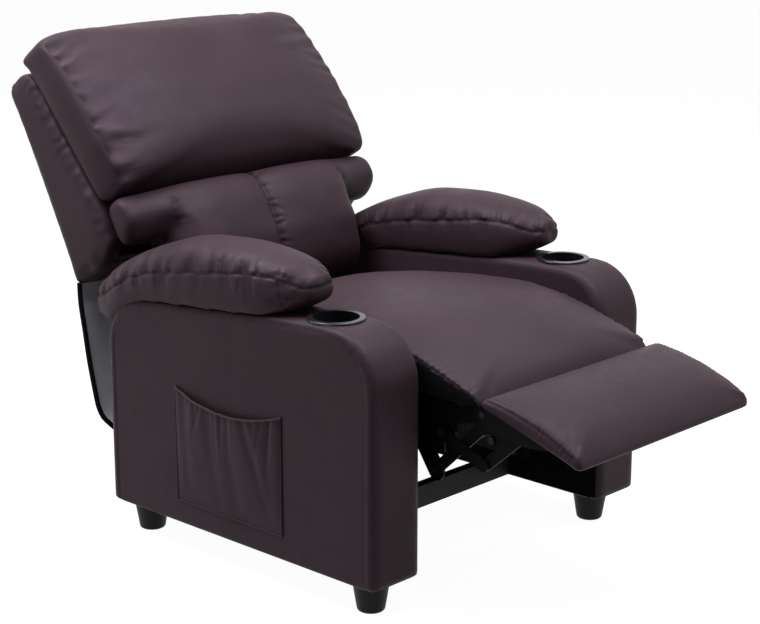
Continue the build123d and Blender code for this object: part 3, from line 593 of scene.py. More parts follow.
def gather(piece, path, count, reach, depth, seed, towards=None, widths=(0.2, 0.42)):
    """Short folds that run out from a seam, where a longer panel is eased into a shorter one."""
    path = onto(piece, path)
    distance, place, away = along(points_of(piece.data), path)
    total = place.max()
    draw = np.random.default_rng(seed)
    lift = np.zeros(len(distance))
    for number in range(count):
        centre = (number + draw.uniform(0.1, 0.9)) / count * total
        width = total / count * draw.uniform(*widths)
        lean = draw.normal(0, 0.3)
        out = reach * draw.uniform(0.5, 1.2)
        strength = depth * draw.uniform(0.35, 1.0)
        across = (place - centre - lean * distance) / width
        fold = 0.55 * bell((np.abs(across) - 1.35) / 0.7) - bell(across)
        lift += strength * fold * bell(distance / out)
    if towards is not None:
        side = away @ np.array(towards)
        lift *= ease(side / (4 * MM) + 0.5)
    shape_by(piece, lift)


# %% Stitches
STITCH_LENGTH = 4.4 * MM
STITCH_WIDTH = 1.1 * MM
STITCH_PITCH = 6.2 * MM


def sew(name, piece, path, body):
    """A row of thread stitches that lie on the piece along a path."""
    tree = BVHTree.FromObject(piece, bpy.context.evaluated_depsgraph_get())
    bm = bmesh.new()
    travelled = STITCH_PITCH
    for before, point in zip(path, path[1:]):
        travelled += (point - before).length
        if travelled < STITCH_PITCH:
            continue
        travelled = 0
        spot, normal, _, _ = tree.find_nearest(point)
        ahead = point - before
        ahead = (ahead - normal * ahead.dot(normal)).normalized()
        across = normal.cross(ahead)
        turn = Matrix((ahead, across, normal)).transposed().to_4x4()
        size = Matrix.Diagonal((STITCH_LENGTH / 2, STITCH_WIDTH / 2, STITCH_WIDTH / 2, 1))
        bmesh.ops.create_icosphere(bm, subdivisions=1, radius=1,
                                   matrix=Matrix.Translation(spot) @ turn @ size)
    row = make_piece(name, bm)
    row.data.materials.append(sewing_thread)
    row.data.shade_smooth()
    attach(row, body)


def finish_soft(piece, node, body, material=pu_leather):
    """Gives a soft piece its material and body, shades it smooth and hides the frame part it stands for."""
    if material and not piece.data.materials:
        piece.data.materials.append(material)
    piece.data.shade_smooth()
    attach(piece, body)
    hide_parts(node)
    print(piece.name, "vertices:", len(piece.data.vertices))


# %% [markdown]
# ## Arm covers
# Each arm is a wooden box in a padded leather cover: one strip runs up the front, over the top and
# down the rear, and flat panels close its two sides. A slab with rounded corners is the right start,
# and a remesh gives the even mesh that the seams need. Below the seat, the inner panel is black cloth.

# %% Arm sizes from the frame
arm_low, arm_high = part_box("left_arm_cover")
FRONT = arm_low.y
ARM_LEVEL = 180 * MM
ARM_REAR_DROP = 37 * MM
ARM_FRONT_ROUND = 92 * MM
ARM_REAR_ROUND = 88 * MM
ARM_CREST_ROUND = 60 * MM
ARM_EDGE = 12 * MM
ARM_VOXEL = 5 * MM
ARM_PADDING = 8 * MM
ARM_WRAP = 3.5 * MM
CUP_HOLE = 40.3 * MM
CUP_HOLE_DEPTH = 68 * MM
BLACK_PANEL_TOP = 0.345
arm_thickness = arm_high.x - arm_low.x


def at(x, y, z):
    """A place in millimetres, with y counted from the front of the arms."""
    return Vector((x * MM, FRONT + y * MM, z * MM))


def arm_line(x, inset):
    """The arm's side outline, drawn in by an inset, as a path from the front foot to the rear one."""
    front = arm_low.y + inset
    rear = arm_high.y - inset
    top = arm_high.z - inset
    fall = ARM_REAR_DROP / (arm_high.y - arm_low.y - ARM_LEVEL)
    front_round = ARM_FRONT_ROUND - inset
    rear_round = ARM_REAR_ROUND - inset
    quarter = [math.radians(angle) for angle in (0, 30, 60, 90)]
    points = [(front, arm_low.z), (front, (arm_low.z + top) / 2)]
    points += [(front + front_round * (1 - math.cos(a)), top - front_round * (1 - math.sin(a)))
               for a in quarter]
    points.append((arm_low.y + ARM_LEVEL, top))
    rear_top = top - fall * (rear - rear_round - arm_low.y - ARM_LEVEL)
    points += [(rear - rear_round * (1 - math.sin(a)), rear_top - rear_round * (1 - math.cos(a)))
               for a in quarter]
    points += [(rear, (arm_low.z + top) / 2), (rear, arm_low.z)]
    return smooth_path([(x, y, z) for y, z in points])


# %% Build the arm covers
SEAM_INSET = 12 * MM
STITCH_GAP = 4 * MM


def arm_cover(side, sign):
    name = f"{side}_arm_cover"
    low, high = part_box(name)
    corners = [(low.y, low.z), (low.y, high.z), (low.y + ARM_LEVEL, high.z),
               (high.y, high.z - ARM_REAR_DROP), (high.y, low.z)]
    roundings = [0, ARM_FRONT_ROUND, ARM_CREST_ROUND, ARM_REAR_ROUND, 0]
    at_bottom = [lambda edge: all(v.co.z < low.z + MM for v in edge.verts)]
    bm = slab(corners, roundings, arm_thickness, ARM_EDGE, at_bottom)
    cover = make_piece(f"{side}_arm_leather", bm, Matrix.Translation((low.x, 0, 0)))
    remesh(cover, ARM_VOXEL)
    relax(cover, 2)
    points = points_of(cover.data)
    normals = normals_of(cover.data)
    padded = np.abs(normals[:, 1]) * ease((points[:, 2] - low.z) / (8 * MM))
    points += normals * (ARM_PADDING * padded)[:, None]
    points[:, 2] -= ARM_WRAP * ease(1 - (points[:, 2] - low.z) / (30 * MM))
    set_points(cover.data, points)
    outer_x = high.x if sign > 0 else low.x
    seam = arm_line(outer_x, SEAM_INSET)
    press_seam(cover, seam, 1.6 * MM, 3 * MM)
    gather(cover, seam, 90, 9 * MM, 0.5 * MM, 11 + sign)

    cutter_bm = bmesh.new()
    cup_low, cup_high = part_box(f"{side}_cup_holder")
    centre = (cup_low + cup_high) / 2
    bmesh.ops.create_cone(cutter_bm, cap_ends=True, segments=64, radius1=CUP_HOLE, radius2=CUP_HOLE,
                          depth=2 * CUP_HOLE_DEPTH, matrix=Matrix.Translation((centre.x, centre.y, high.z)))
    cutter = make_piece("cup_cutter", cutter_bm)
    hole = cover.modifiers.new("cup hole", "BOOLEAN")
    hole.object = cutter
    hole.solver = "EXACT"
    apply_modifiers(cover)
    bpy.data.objects.remove(cutter)

    cover.data.materials.append(pu_leather)
    cover.data.materials.append(dust_cloth)
    for polygon in cover.data.polygons:
        inner = polygon.normal.x * sign < -0.8 and polygon.center.z < BLACK_PANEL_TOP
        if inner or polygon.normal.z < -0.8 and polygon.center.z < low.z:
            polygon.material_index = 1
    finish_soft(cover, name, "base")
    sew(f"{side}_arm_stitches", cover, arm_line(outer_x, SEAM_INSET - STITCH_GAP), "base")


for side, sign in SIDES.items():
    arm_cover(side, sign)

# %% [markdown]
# ## Arm pads
# A long pillow lies on each arm, sewn from an upper and a lower panel that meet in a seam at half
# height. The panels are longer than the seam, so the leather puckers along it. The pad starts as a
# block that is bent to the arm's slope, is swollen with its underside and seam held, and is gathered.

# %% Pad form
PAD_Y = [160, 178, 215, 270, 325, 445, 555, 600, 640, 668, 698]
PAD_LOW = [512, 491, 479, 472, 468, 458, 449, 431, 392, 384, 408]
PAD_HIGH = [540, 556, 570, 577, 581, 573, 537, 517, 498, 482, 448]
PAD_HALF = [20, 46, 60, 66, 67, 67, 65, 62, 57, 49, 36]
PAD_TOP_ROUND = 0.41
PAD_FOOT_ROUND = 0.24
PAD_BLEND = 22
PAD_TUCK_Y = 205
PAD_SKIRT = 12
PAD_SEAM_Y = [160, 225, 280, 340, 420]
PAD_SEAM_SHARE = [0.2, 0.42, 0.32, 0.16, 0.05]
PAD_VOXEL = 6 * MM
PAD_CUTS_ALONG = 60
PAD_CUTS_ACROSS = 7


def pad_value(y, values):
    """A value along the pad, averaged over a short stretch so that the outline has no corners."""
    return sum(np.interp(y + shift, PAD_Y, values) for shift in (-PAD_BLEND, 0, PAD_BLEND)) / 3


def pad_section(y):
    """Middle height, half height and half width of the pad, in millimetres."""
    low = pad_value(y, PAD_LOW) + 0.6
    high = pad_value(y, PAD_HIGH)
    return (low + high) / 2, (high - low) / 2, pad_value(y, PAD_HALF)


def pad_seam(centre_x):
    """The seam round the pad at half height, from its front along the outer side and back."""
    right = []
    left = []
    for y in (164, 185, 225, 280, 340, 400, 460, 520, 580, 630, 665, 692):
        middle, rise, half = pad_section(y)
        height = middle + rise * np.interp(y, PAD_SEAM_Y, PAD_SEAM_SHARE)
        right.append(at(centre_x + half, y, height))
        left.append(at(centre_x - half, y, height))
    return smooth_path(right + left[::-1], closed=True)


def arm_pad(side, sign):
    centre_x = sign * (arm_low.x + arm_high.x) / 2 / MM
    bm = bmesh.new()
    bmesh.ops.create_cube(bm, size=2)
    lengthways = [e for e in bm.edges if abs(e.verts[0].co.y - e.verts[1].co.y) > 1]
    bmesh.ops.subdivide_edges(bm, edges=lengthways, cuts=PAD_CUTS_ALONG, use_grid_fill=True)
    crossways = [e for e in bm.edges if abs(e.verts[0].co.y - e.verts[1].co.y) < 0.01]
    bmesh.ops.subdivide_edges(bm, edges=crossways, cuts=PAD_CUTS_ACROSS, use_grid_fill=True)
    for vert in bm.verts:
        a, b, c = vert.co
        y = PAD_Y[0] + (b + 1) / 2 * (PAD_Y[-1] - PAD_Y[0])
        middle, rise, half = pad_section(y)
        squareness = PAD_TOP_ROUND if c > 0 else PAD_FOOT_ROUND
        wide = a * math.sqrt(1 - squareness * c * c)
        tall = c * math.sqrt(1 - squareness * a * a)
        skirt = PAD_SKIRT * ease((abs(a) - 0.7) / 0.3) * ease((y - 190) / 80) if c < 0 else 0
        vert.co = at(centre_x + half * wide, y, middle + rise * tall - skirt)
    pad = make_piece(f"{side}_arm_pillow", bm)
    remesh(pad, PAD_VOXEL)
    relax(pad, 4)
    points = points_of(pad.data)
    middle, rise, _ = pad_section((points[:, 1] - FRONT) / MM)
    under = ease((middle - 0.5 * rise - points[:, 2] / MM) / 8)
    seam = pad_seam(centre_x)
    stuff(pad, np.maximum(under, 0.8 * bell(along(points, seam)[0] / (7 * MM))), 9 * MM)
    subdivide(pad)
    press_seam(pad, seam, 2.4 * MM, 3 * MM)
    gather(pad, seam, 30, 34 * MM, 3.6 * MM, 21 + sign, (0, 0, 1), (0.16, 0.4))
    gather(pad, seam, 18, 24 * MM, 2.6 * MM, 25 + sign, (0, 0, -1), (0.14, 0.3))
    middle, rise, half = pad_section(PAD_TUCK_Y)
    outer_x = centre_x + sign * half
    tuck = smooth_path([at(outer_x - sign * inward, PAD_TUCK_Y + share * 8, middle + share * rise)
                        for share, inward in ((0.8, 12), (0.4, 2), (0, 0), (-0.5, 3), (-0.9, 12))])
    press_seam(pad, tuck, 1.6 * MM, 3 * MM)
    gather(pad, tuck, 4, 30 * MM, 1.6 * MM, 27 + sign, None, (0.25, 0.45))
    finish_soft(pad, f"{side}_arm_pad", "base")
    sew(f"{side}_pad_stitches", pad, [p + Vector((0, 0, 4 * MM)) for p in onto(pad, seam)], "base")


for side, sign in SIDES.items():
    arm_pad(side, sign)

# %% [markdown]
# ## Side pocket
# A patch pocket of the same leather hangs on the outside of the right arm. Its top hem holds elastic,
# so the cloth below it is gathered and the mouth stands open. A grid bent by a formula is simple and
# exact here: the hem sags, the belly stands out, and folds fall from the hem.

# %% Sheets from a grid
def grid_sheet(name, place, columns, rows):
    """A sheet whose points are place(s, t), with s across it and t along it, both from 0 to 1."""
    bm = bmesh.new()
    bmesh.ops.create_grid(bm, x_segments=columns, y_segments=rows, size=0.5)
    for vert in bm.verts:
        vert.co = place(vert.co.x + 0.5, vert.co.y + 0.5)
    bmesh.ops.recalc_face_normals(bm, faces=bm.faces[:])
    return make_piece(name, bm)


def thicken(sheet, thickness, offset, backing=0):
    wall = sheet.modifiers.new("thickness", "SOLIDIFY")
    wall.thickness = thickness
    wall.offset = offset
    wall.material_offset = backing
    apply_modifiers(sheet)


# %% Pocket
POCKET_TOP = 309
POCKET_BOTTOM = 103
POCKET_FRONT = 203
POCKET_REAR = 466
POCKET_SAG = 23
POCKET_MOUTH = 10.5
POCKET_CLOTH = 1.6
POCKET_PUFF = 3.0
POCKET_WALL = 350
POCKET_GAP = 1.2
POCKET_ROWS = 70
POCKET_COLUMNS = 88


def pocket_place(s, t):
    """A place on the pocket: s from front to rear, t from the bottom seam to the hem."""
    height = POCKET_TOP - POCKET_BOTTOM - POCKET_SAG * 4 * s * (1 - s)
    edge = min(1, 14 * s * (1 - s))
    puff = math.sin(math.pi * min(1, t)) * POCKET_PUFF * edge
    mouth = POCKET_MOUTH * t ** 1.6 * (4 * s * (1 - s)) ** 0.5
    folds = 0
    for where, width, depth, lean, reach in POCKET_FOLDS:
        across = (s - where - lean * (1 - t)) / width
        folds += depth * math.exp(-across ** 2 - ((1 - t) / reach) ** 2) * edge
    stand = POCKET_GAP + puff + mouth + folds * min(1, 6 * t)
    y = POCKET_FRONT + s * (POCKET_REAR - POCKET_FRONT)
    return at(-POCKET_WALL - stand, y, POCKET_BOTTOM + t * height)


draw = np.random.default_rng(5)
POCKET_FOLDS = [((number + draw.uniform(0.2, 0.8)) / 16, draw.uniform(0.011, 0.02), draw.uniform(-2.8, 1.0),
                 draw.normal(0, 0.1), draw.uniform(0.12, 0.35)) for number in range(16)]
POCKET_FOLDS += [((number + draw.uniform(0.3, 0.7)) / 5, draw.uniform(0.03, 0.055), draw.uniform(-2.8, -1.2),
                  draw.uniform(-0.25, 0.12), draw.uniform(0.6, 0.95)) for number in range(5)]
pocket = grid_sheet("side_pocket_leather", pocket_place, POCKET_COLUMNS, POCKET_ROWS)
face_to(pocket, (-1, 0, 0))
thicken(pocket, POCKET_CLOTH * MM, -1)
finish_soft(pocket, "side_pocket", "base")


def tube(name, path, radius, body, material):
    """A round welt along a path."""
    curve = bpy.data.curves.new(name, "CURVE")
    curve.dimensions = "3D"
    curve.bevel_depth = radius
    curve.bevel_resolution = 3
    curve.use_fill_caps = True
    spline = curve.splines.new("POLY")
    spline.points.add(len(path) - 1)
    for point, place in zip(spline.points, path):
        point.co = (*place, 1)
    shaped = bpy.data.objects.new(name, curve)
    scene.collection.objects.link(shaped)
    mesh = bpy.data.meshes.new_from_object(shaped.evaluated_get(bpy.context.evaluated_depsgraph_get()))
    bpy.data.objects.remove(shaped)
    welt = bpy.data.objects.new(name, mesh)
    scene.collection.objects.link(welt)
    mesh.materials.append(material)
    mesh.shade_smooth()
    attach(welt, body)
    return welt


hem = tube("side_pocket_hem", [pocket_place(n / 60, 1) for n in range(61)], 2.6 * MM, "base", pu_leather)
edges = [[pocket_place(0, n / 40) for n in range(41)], [pocket_place(1, n / 40) for n in range(41)],
         [pocket_place(n / 50, 0) for n in range(51)]]
welts = [tube(f"side_pocket_edge_{n}", path, 1.5 * MM, "base", pu_leather) for n, path in enumerate(edges)]

# %% [markdown]
# ## Seat cushion
# The seat is one thick pad that runs from under the back to the footrest, full in the middle and
# rounded over the front edge. Its sides are drawn down to the frame, where the leather gathers.

# %% Seat form
SEAT_ALONG = [-116, -110, -98, -46, 9, 60, 134, 240, 351, 450, 520, 562]
SEAT_EDGE = [371, 386, 394, 411, 428, 440, 448, 441, 429, 413, 396, 380]
SEAT_CROWN = [373, 391, 401, 422, 446, 462, 470, 465, 452, 432, 406, 384]
SEAT_HALF = 229
SEAT_BOTTOM = 365.6
SEAT_SEAM_DROP = 9
SEAT_BLOCK = 60
SEAT_VOXEL = 6 * MM


def seat_top(x, y):
    across = np.clip(np.abs(x) / SEAT_HALF, 0, 1)
    edge = np.interp(y, SEAT_ALONG, SEAT_EDGE)
    crown = np.interp(y, SEAT_ALONG, SEAT_CROWN)
    return edge + (crown - edge) * (1 - across ** 3)


seat = cushion_block("seat_cushion_leather", (-SEAT_HALF, SEAT_ALONG[0], 0),
                     (SEAT_HALF, SEAT_ALONG[-1], SEAT_BLOCK), 10, SEAT_VOXEL)
points = points_of(seat.data) / MM
height = points[:, 2] / SEAT_BLOCK
top = seat_top(points[:, 0], points[:, 1])
points[:, 2] = SEAT_BOTTOM + height * np.maximum(top - SEAT_BOTTOM, 1)
points[:, 1] += FRONT / MM
set_points(seat.data, points * MM)
relax(seat, 4)
points = points_of(seat.data)
under = ease((0.372 - points[:, 2]) / 0.006)
seam_y = (-108, -60, 0, 60, 134, 240, 351, 450, 530)
seam_z = [float(z) - SEAT_SEAM_DROP for z in np.interp(seam_y, SEAT_ALONG, SEAT_EDGE)]
side_seams = [smooth_path([at(sign * SEAT_HALF, y, z) for y, z in zip(seam_y, seam_z)])
              for sign in (-1, 1)]
stuff(seat, hold(seat, under, side_seams, 0.8, 9 * MM), 9 * MM)
subdivide(seat)
for number, seam in enumerate(side_seams):
    press_seam(seat, seam, 2.0 * MM, 3 * MM)
    gather(seat, seam, 44, 18 * MM, 2.4 * MM, 31 + number, (0, 0, 1))

seat.data.materials.append(pu_leather)
seat.data.materials.append(dust_cloth)
for polygon in seat.data.polygons:
    centre = polygon.center / MM
    edge = np.interp(centre.y - FRONT / MM, SEAT_ALONG, SEAT_EDGE) - SEAT_SEAM_DROP
    if centre.z < edge - 2 and abs(centre.x) > SEAT_HALF - 20 or polygon.normal.z < -0.7:
        polygon.material_index = 1
finish_soft(seat, "seat_cushion", "seat")

# %% [markdown]
# ## Footrest pad
# A thin pad on a board, with a seam down each side and pointed front corners. It crowns in the middle
# and thins to its front edge.

# %% Footrest form
joints = {joint["name"]: joint for joint in frame["joints"]}
FOOTREST_SLOPE = 17.3
FOOTREST_HALF = 232
FOOTREST_BOTTOM = 28.8
FOOTREST_WRAP = 11.5
FOOTREST_BLOCK = 24
FOOTREST_OUT = [1, 7, 18, 60, 110, 160, 189, 204, 210]
FOOTREST_EDGE = [3, 9, 14, 20, 23, 21, 16, 9, 3]
FOOTREST_CROWN = [3, 10, 17, 30, 36, 30, 19, 10, 4]
FOOTREST_VOXEL = 5 * MM
FOOTREST_RIDGE = 1.5 * MM
footrest_frame = Matrix.Translation(joints["footrest_hinge"]["pos_m"])
footrest_frame @= Matrix.Rotation(math.radians(FOOTREST_SLOPE), 4, "X")

footrest = cushion_block("footrest_leather", (-FOOTREST_HALF, -FOOTREST_OUT[-1], 0),
                         (FOOTREST_HALF, -FOOTREST_OUT[0], FOOTREST_BLOCK), 7, FOOTREST_VOXEL)
points = points_of(footrest.data) / MM
across = np.clip(np.abs(points[:, 0]) / FOOTREST_HALF, 0, 1)
out = -points[:, 1]
edge = np.interp(out, FOOTREST_OUT, FOOTREST_EDGE)
crown = np.interp(out, FOOTREST_OUT, FOOTREST_CROWN)
top = FOOTREST_BOTTOM + edge + (crown - edge) * (1 - across ** 4)
wrapped = np.maximum(ease((np.abs(points[:, 0]) - 223) / 3), ease((out - 186) / 4))
bottom = FOOTREST_BOTTOM - FOOTREST_WRAP * wrapped
points[:, 2] = bottom + points[:, 2] / FOOTREST_BLOCK * (top - bottom)
set_points(footrest.data, points * MM)
relax(footrest, 3)
points = points_of(footrest.data)
under = ease((FOOTREST_BOTTOM + 4 - points[:, 2] / MM) / 3)
footrest_rows = [[(sign * (FOOTREST_HALF - 2), -8, 36), (sign * (FOOTREST_HALF - 1), -60, 43),
                  (sign * (FOOTREST_HALF - 1), -130, 43), (sign * (FOOTREST_HALF - 2), -196, 34)]
                 for sign in (-1, 1)]
footrest_rows = [smooth_path([Vector(p) * MM for p in row]) for row in footrest_rows]
stuff(footrest, hold(footrest, under, footrest_rows, 1, 5 * MM), 8 * MM)
subdivide(footrest)
for number, row in enumerate(footrest_rows):
    press_seam(footrest, row, 1.8 * MM, 3 * MM)
    gather(footrest, row, 30, 10 * MM, 0.8 * MM, 41 + number)
    end = row[-1]
    mitre = smooth_path([end, end + Vector((-math.copysign(12, end.x), 3, 6)) * MM,
                         end + Vector((-math.copysign(22, end.x), 12, 9)) * MM])
    press_seam(footrest, mitre, -FOOTREST_RIDGE, 4 * MM)
footrest.data.transform(footrest_frame)
finish_soft(footrest, "footrest_pad", "footrest")
for number, row in enumerate(footrest_rows):
    inside = [footrest_frame @ (p - Vector((math.copysign(9 * MM, p.x), 0, -3 * MM))) for p in row]
    sew(f"footrest_stitches_{number}", footrest, inside, "footrest")

# %% [markdown]
# ## Back: wings, pillow and lumbar cushion
# The back leans, so its pieces are modelled in its own axes: x across, u up along the back and v out of
# it towards the sitter. One matrix then carries them to the chair.

# %% Back axes
BACK_LEAN = 36
back_frame = Matrix.Translation(joints["back_recline"]["pos_m"])
back_frame @= Matrix.Rotation(math.radians(90 - BACK_LEAN), 4, "X")
wing_low, wing_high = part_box("left_wing")
WING_INNER = wing_low.x / MM
WING_OUTER = wing_high.x / MM
WING_FRONT_LOW = (248, 76)
WING_FRONT_HIGH = (530, 57)


def back_front(u):
    """How far forward the wings' front edge stands, at a distance up the back."""
    share = (u - WING_FRONT_LOW[0]) / (WING_FRONT_HIGH[0] - WING_FRONT_LOW[0])
    return WING_FRONT_LOW[1] + (WING_FRONT_HIGH[1] - WING_FRONT_LOW[1]) * share


# %% Wings
WING_CORNERS = [(166, -78), (553, -25), (557, 31), (530, 57), (400, 63), (248, 76), (176, 56), (160, -6)]
WING_ROUNDS = [8, 16, 16, 18, 20, 30, 18, 12]
for side, sign in SIDES.items():
    bm = slab([(u * MM, v * MM) for u, v in WING_CORNERS], [r * MM for r in WING_ROUNDS],
              (WING_OUTER - WING_INNER) * MM, 11 * MM)
    start_x = WING_INNER if sign > 0 else -WING_OUTER
    wing = make_piece(f"{side}_wing_leather", bm, Matrix.Translation((start_x * MM, 0, 0)))
    remesh(wing, 4.5 * MM)
    relax(wing, 3)
    points = points_of(wing.data)
    inside = ease((WING_INNER + 6 - np.abs(points[:, 0]) / MM) / 5)
    stuff(wing, inside, 4 * MM, 2.5)
    subdivide(wing)
    outer = sign * WING_OUTER
    front_row = smooth_path([Vector((outer, u, v)) * MM for u, v in
                             ((176, 48), (248, 62), (400, 50), (520, 44), (540, 30))])
    gather(wing, front_row, 12, 16 * MM, 1.2 * MM, 51 + sign)
    wing.data.transform(back_frame)
    finish_soft(wing, f"{side}_wing", "back")

# %% Head pillow
HEAD_HALF = 322
HEAD_LOW = 254
HEAD_HIGH = 587
HEAD_U = [254, 266, 290, 340, 410, 490, 540, 565, 587]
HEAD_DEPTH = [68, 82, 93, 102, 106, 102, 98, 94, 84]
HEAD_BLOCK = 80
HEAD_CROWN = 10
HEAD_ROUND = 18
HEAD_DROOP = 8
HEAD_PULL = 20
HEAD_SHEAR = 8
HEAD_WRAP = 8
HEAD_VOXEL = 6 * MM
HEAD_FOLDS = [4.5 * MM, 1.4 * MM]

head = cushion_block("head_pillow_leather", (-HEAD_HALF, HEAD_LOW, 0),
                     (HEAD_HALF, HEAD_HIGH, HEAD_BLOCK), 14, HEAD_VOXEL)
points = points_of(head.data) / MM
depth = np.interp(points[:, 1], HEAD_U, HEAD_DEPTH)
across = np.clip(np.abs(points[:, 0]) / HEAD_HALF, 0, 1)
out = points[:, 2] / HEAD_BLOCK
points[:, 2] = back_front(points[:, 1]) + 1 + out * depth * (1 - 0.18 * across ** 4)
topness = np.clip((points[:, 1] - 500) / (HEAD_HIGH - 500), 0, 1)
corner = out * np.clip((340 - points[:, 1]) / (340 - HEAD_LOW), 0, 1) * across ** 3
points[:, 1] += topness * (HEAD_CROWN * (1 - across ** 2) - HEAD_ROUND * across ** 8) - HEAD_DROOP * corner
points[:, 0] += HEAD_PULL * corner * (points[:, 0] < 0)
points[:, 0] -= HEAD_SHEAR * (points[:, 1] - HEAD_LOW) / (HEAD_HIGH - HEAD_LOW)
points[:, 2] -= HEAD_WRAP * (1 - out) * ease((points[:, 1] - 548) / 12)
set_points(head.data, points * MM)
relax(head, 4)
points = points_of(head.data)
rear = ease((back_front(points[:, 1] / MM) + 10 - points[:, 2] / MM) / 6)
head_seams = [smooth_path([Vector((sign * (HEAD_HALF - 4), u, back_front(u) + v)) * MM for u, v in
                           ((258, 62), (300, 78), (400, 88), (500, 84), (556, 66))]) for sign in (-1, 1)]
stuff(head, hold(head, rear, head_seams, 0.9, 8 * MM), 20 * MM)
subdivide(head)
for number, seam in enumerate(head_seams):
    inward = (-1 if number else 1, 0, 0.3)
    press_seam(head, seam, 1.4 * MM, 8 * MM)
    gather(head, seam, 9, 62 * MM, HEAD_FOLDS[number], 61 + number, inward, (0.24, 0.5))
head.data.transform(back_frame)
finish_soft(head, "head_pillow", "back")

# %% Lumbar cushion
LUMBAR_OUTLINE = [(-314, 166), (-314, 250), (322, 250), (322, 166),
                  (225, 162), (225, 32), (-225, 32), (-225, 162)]
LUMBAR_ROUNDS = [24, 20, 20, 24, 8, 10, 10, 8]
LUMBAR_U = [36, 52, 110, 180, 225, 250]
LUMBAR_FRONT = [38, 70, 94, 95, 84, 58]
LUMBAR_VALLEY = [32, 58, 76, 76, 68, 48]
LUMBAR_BLOCK = 40
LUMBAR_EAR_THIN = 0.32
LUMBAR_EAR_TAPER = 0.45
LUMBAR_VOXEL = 6 * MM


def lumbar_rear(u):
    """How far out the cushion's rear lies, just clear of the foam."""
    return 46 + (76 - 46) * ((u - 20) / (248 - 20)) + 0.8


bm = slab([(u * MM, x * MM) for x, u in LUMBAR_OUTLINE], [r * MM for r in LUMBAR_ROUNDS],
          LUMBAR_BLOCK * MM, 10 * MM)
for vert in bm.verts:
    vert.co = vert.co.zyx
bmesh.ops.recalc_face_normals(bm, faces=bm.faces[:])
lumbar = make_piece("lumbar_cushion_leather", bm)
remesh(lumbar, LUMBAR_VOXEL)
points = points_of(lumbar.data) / MM
x = np.abs(points[:, 0])
front = np.interp(points[:, 1], LUMBAR_U, LUMBAR_FRONT)
valley = np.interp(points[:, 1], LUMBAR_U, LUMBAR_VALLEY)
panel = np.sqrt(np.clip(x / 60, 0, 1))
depth = valley + (front - valley) * panel
depth *= 1 - LUMBAR_EAR_THIN * ease((x - 140) / 150)
depth *= 1 - LUMBAR_EAR_TAPER * ease((x - 205) / 25) * ease((200 - points[:, 1]) / 35)
points[:, 2] = lumbar_rear(points[:, 1]) + points[:, 2] / LUMBAR_BLOCK * depth
set_points(lumbar.data, points * MM)
relax(lumbar, 4)
points = points_of(lumbar.data)
rear = ease((lumbar_rear(points[:, 1] / MM) + 8 - points[:, 2] / MM) / 5)
centre_seam = smooth_path([Vector((0, u, lumbar_rear(u) + v)) * MM for u, v in
                           ((40, 36), (52, 58), (110, 74), (180, 70), (236, 40))])
stuff(lumbar, hold(lumbar, rear, [centre_seam], 1, 8 * MM), 14 * MM)
subdivide(lumbar)
press_seam(lumbar, centre_seam, 4 * MM, 5 * MM)
gather(lumbar, centre_seam, 17, 18 * MM, 2.6 * MM, 71, (1, 0, 0))
gather(lumbar, centre_seam, 9, 14 * MM, 1.6 * MM, 72, (-1, 0, 0))
for sign in (-1, 1):
    tuck = smooth_path([Vector((sign * x, u, lumbar_rear(u) + 62)) * MM for x, u in
                        ((219, 164), (212, 182), (209, 198), (208, 212))])
    press_seam(lumbar, tuck, 2.2 * MM, 12 * MM)
    press_seam(lumbar, tuck, 1.8 * MM, 4 * MM)
    gather(lumbar, tuck, 4, 16 * MM, 2 * MM, 74 + sign, (-sign, 0, 0))
lumbar.data.transform(back_frame)
finish_soft(lumbar, "lumbar_cushion", "back")

# %% Back foam under its cover
FOAM_PARTS = {"upper": ((-279, 186, 16), (279, 529, 60)), "lower": ((-203, 22, 16), (203, 190, 52))}
foam_bm = soft_block(*FOAM_PARTS["upper"], 8)
lower_bm = soft_block(*FOAM_PARTS["lower"], 8)
lower_mesh = bpy.data.meshes.new("lower")
lower_bm.to_mesh(lower_mesh)
lower_bm.free()
foam_bm.from_mesh(lower_mesh)
bpy.data.meshes.remove(lower_mesh)
foam = make_piece("back_foam_cover", foam_bm, back_frame @ Matrix.Scale(MM, 4))
remesh(foam, 6 * MM)
relax(foam, 3)
finish_soft(foam, "back_foam", "back")

# %% [markdown]
# ## Rear panel and flap
# The back's rear is covered with one panel that folds over its top and bottom edges. From its lower
# edge hangs a flap, a single sheet that hides the gap above the base. Both are sheets, so each is a
# grid that follows a side profile and gets its thickness from Solidify.

# %% Sheets along a profile
def measured(profile):
    """A smooth side profile of (y, z) points, with the length run at each of its points."""
    path = smooth_path([(0, *p) for p in profile])
    return path, np.concatenate([[0], np.cumsum([(b - a).length for a, b in zip(path, path[1:])])])


def on_profile(path, lengths, t, lift):
    """The place at a share of the profile's length, lifted along its normal."""
    index = min(int(np.searchsorted(lengths, t * lengths[-1])), len(path) - 1)
    ahead = path[min(index + 1, len(path) - 1)] - path[max(index - 1, 0)]
    return path[index] + Vector((0, -ahead.z, ahead.y)).normalized() * lift


# %% Rear panel
PANEL_HALF = 316 * MM
PANEL_PROFILE = [(171.5, -4), (170.5, -40), (169, -66), (175, -68), (260, -56), (360, -42), (460, -28),
                 (540, -17), (549, -14), (551, -8), (549, 10), (540, 26), (531, 38)]
panel_path, panel_lengths = measured([(u * MM, v * MM) for u, v in PANEL_PROFILE])


def panel_place(s, t):
    """Stuffed a little between its edges."""
    puff = -5 * MM * (16 * s * (1 - s) * t * (1 - t)) ** 0.5 * min(1, 8 * t * (1 - t))
    return on_profile(panel_path, panel_lengths, t, puff) + Vector(((2 * s - 1) * PANEL_HALF, 0, 0))


panel = grid_sheet("rear_panel_leather", panel_place, 90, 90)
panel.data.transform(back_frame)
thicken(panel, 3 * MM, 0)
finish_soft(panel, "rear_back_panel", "back")

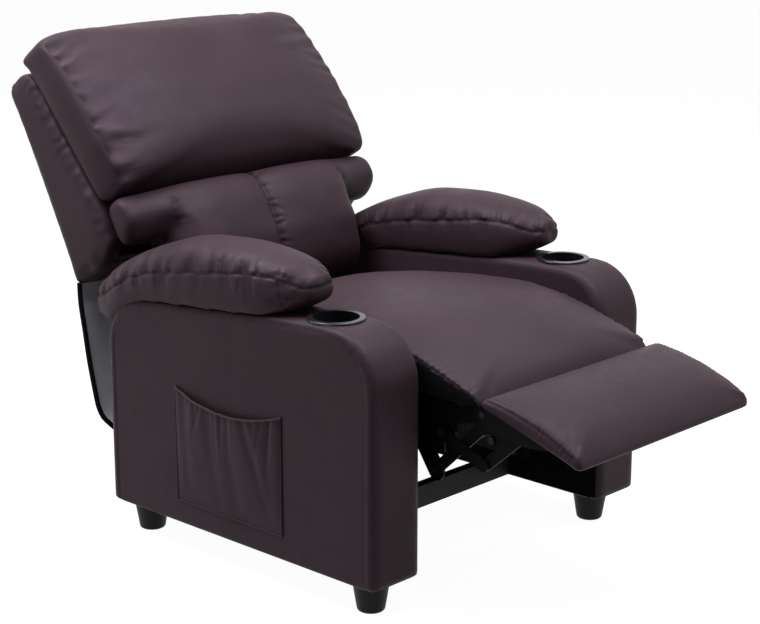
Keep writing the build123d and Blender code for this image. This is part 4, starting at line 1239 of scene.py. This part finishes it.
# %% Flap
FLAP_HALF = 318 * MM
FLAP_CORNER = 70 * MM
FLAP_BINDING = 4.6 * MM
FLAP_PROFILE = [(766, 438), (764, 398), (754, 345), (745, 295),
                (732, 243), (719, 199), (707, 172), (697, 155)]
flap_path, flap_lengths = measured([(FRONT + y * MM, z * MM) for y, z in FLAP_PROFILE])
flap_length = float(flap_lengths[-1])


def flap_place(s, t):
    """Slow waves that grow towards the hem, and round lower corners."""
    waves = 4 * math.sin(2 * math.pi * (1.6 * s + 0.1)) + 2 * math.sin(2 * math.pi * 3.7 * s)
    past = max(0, FLAP_CORNER - (1 - t) * flap_length)
    half = FLAP_HALF - FLAP_CORNER + math.sqrt(FLAP_CORNER ** 2 - past ** 2)
    return on_profile(flap_path, flap_lengths, t, waves * t * MM) + Vector(((2 * s - 1) * half, 0, 0))


flap = grid_sheet("rear_flap_leather", flap_place, 100, 80)
face_to(flap, (0, 1, 0))
flap.data.materials.append(pu_leather)
flap.data.materials.append(flap_backing)
thicken(flap, 2 * MM, 0, 1)
finish_soft(flap, "rear_flap", "back")
down = [n / 60 for n in range(61)]
rim = [flap_place(0, t) for t in down]
rim += [flap_place(s, 1) for s in down[1:-1]]
rim += [flap_place(1, t) for t in down[::-1]]
binding = tube("rear_flap_binding", rim, FLAP_BINDING, "back", binding_tape)

# %% [markdown]
# ## Dust cloth under the seat
# The underside of the seat is closed with black felt, stapled to the rails and sagging a little
# between them.

# %% Dust cloth
cloth_low, cloth_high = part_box("seat_dust_cloth")
CLOTH_SAG = 8 * MM
CLOTH_BELOW = 0.6 * MM
CLOTH_THICKNESS = 0.8 * MM


def cloth_place(s, t):
    sag = CLOTH_SAG * (16 * s * (1 - s) * t * (1 - t)) ** 0.7
    return Vector((cloth_low.x + s * (cloth_high.x - cloth_low.x),
                   cloth_low.y + t * (cloth_high.y - cloth_low.y), cloth_high.z - CLOTH_BELOW - sag))


cloth = grid_sheet("seat_dust_felt", cloth_place, 40, 60)
thicken(cloth, CLOTH_THICKNESS, 0)
finish_soft(cloth, "seat_dust_cloth", "seat", dust_cloth)
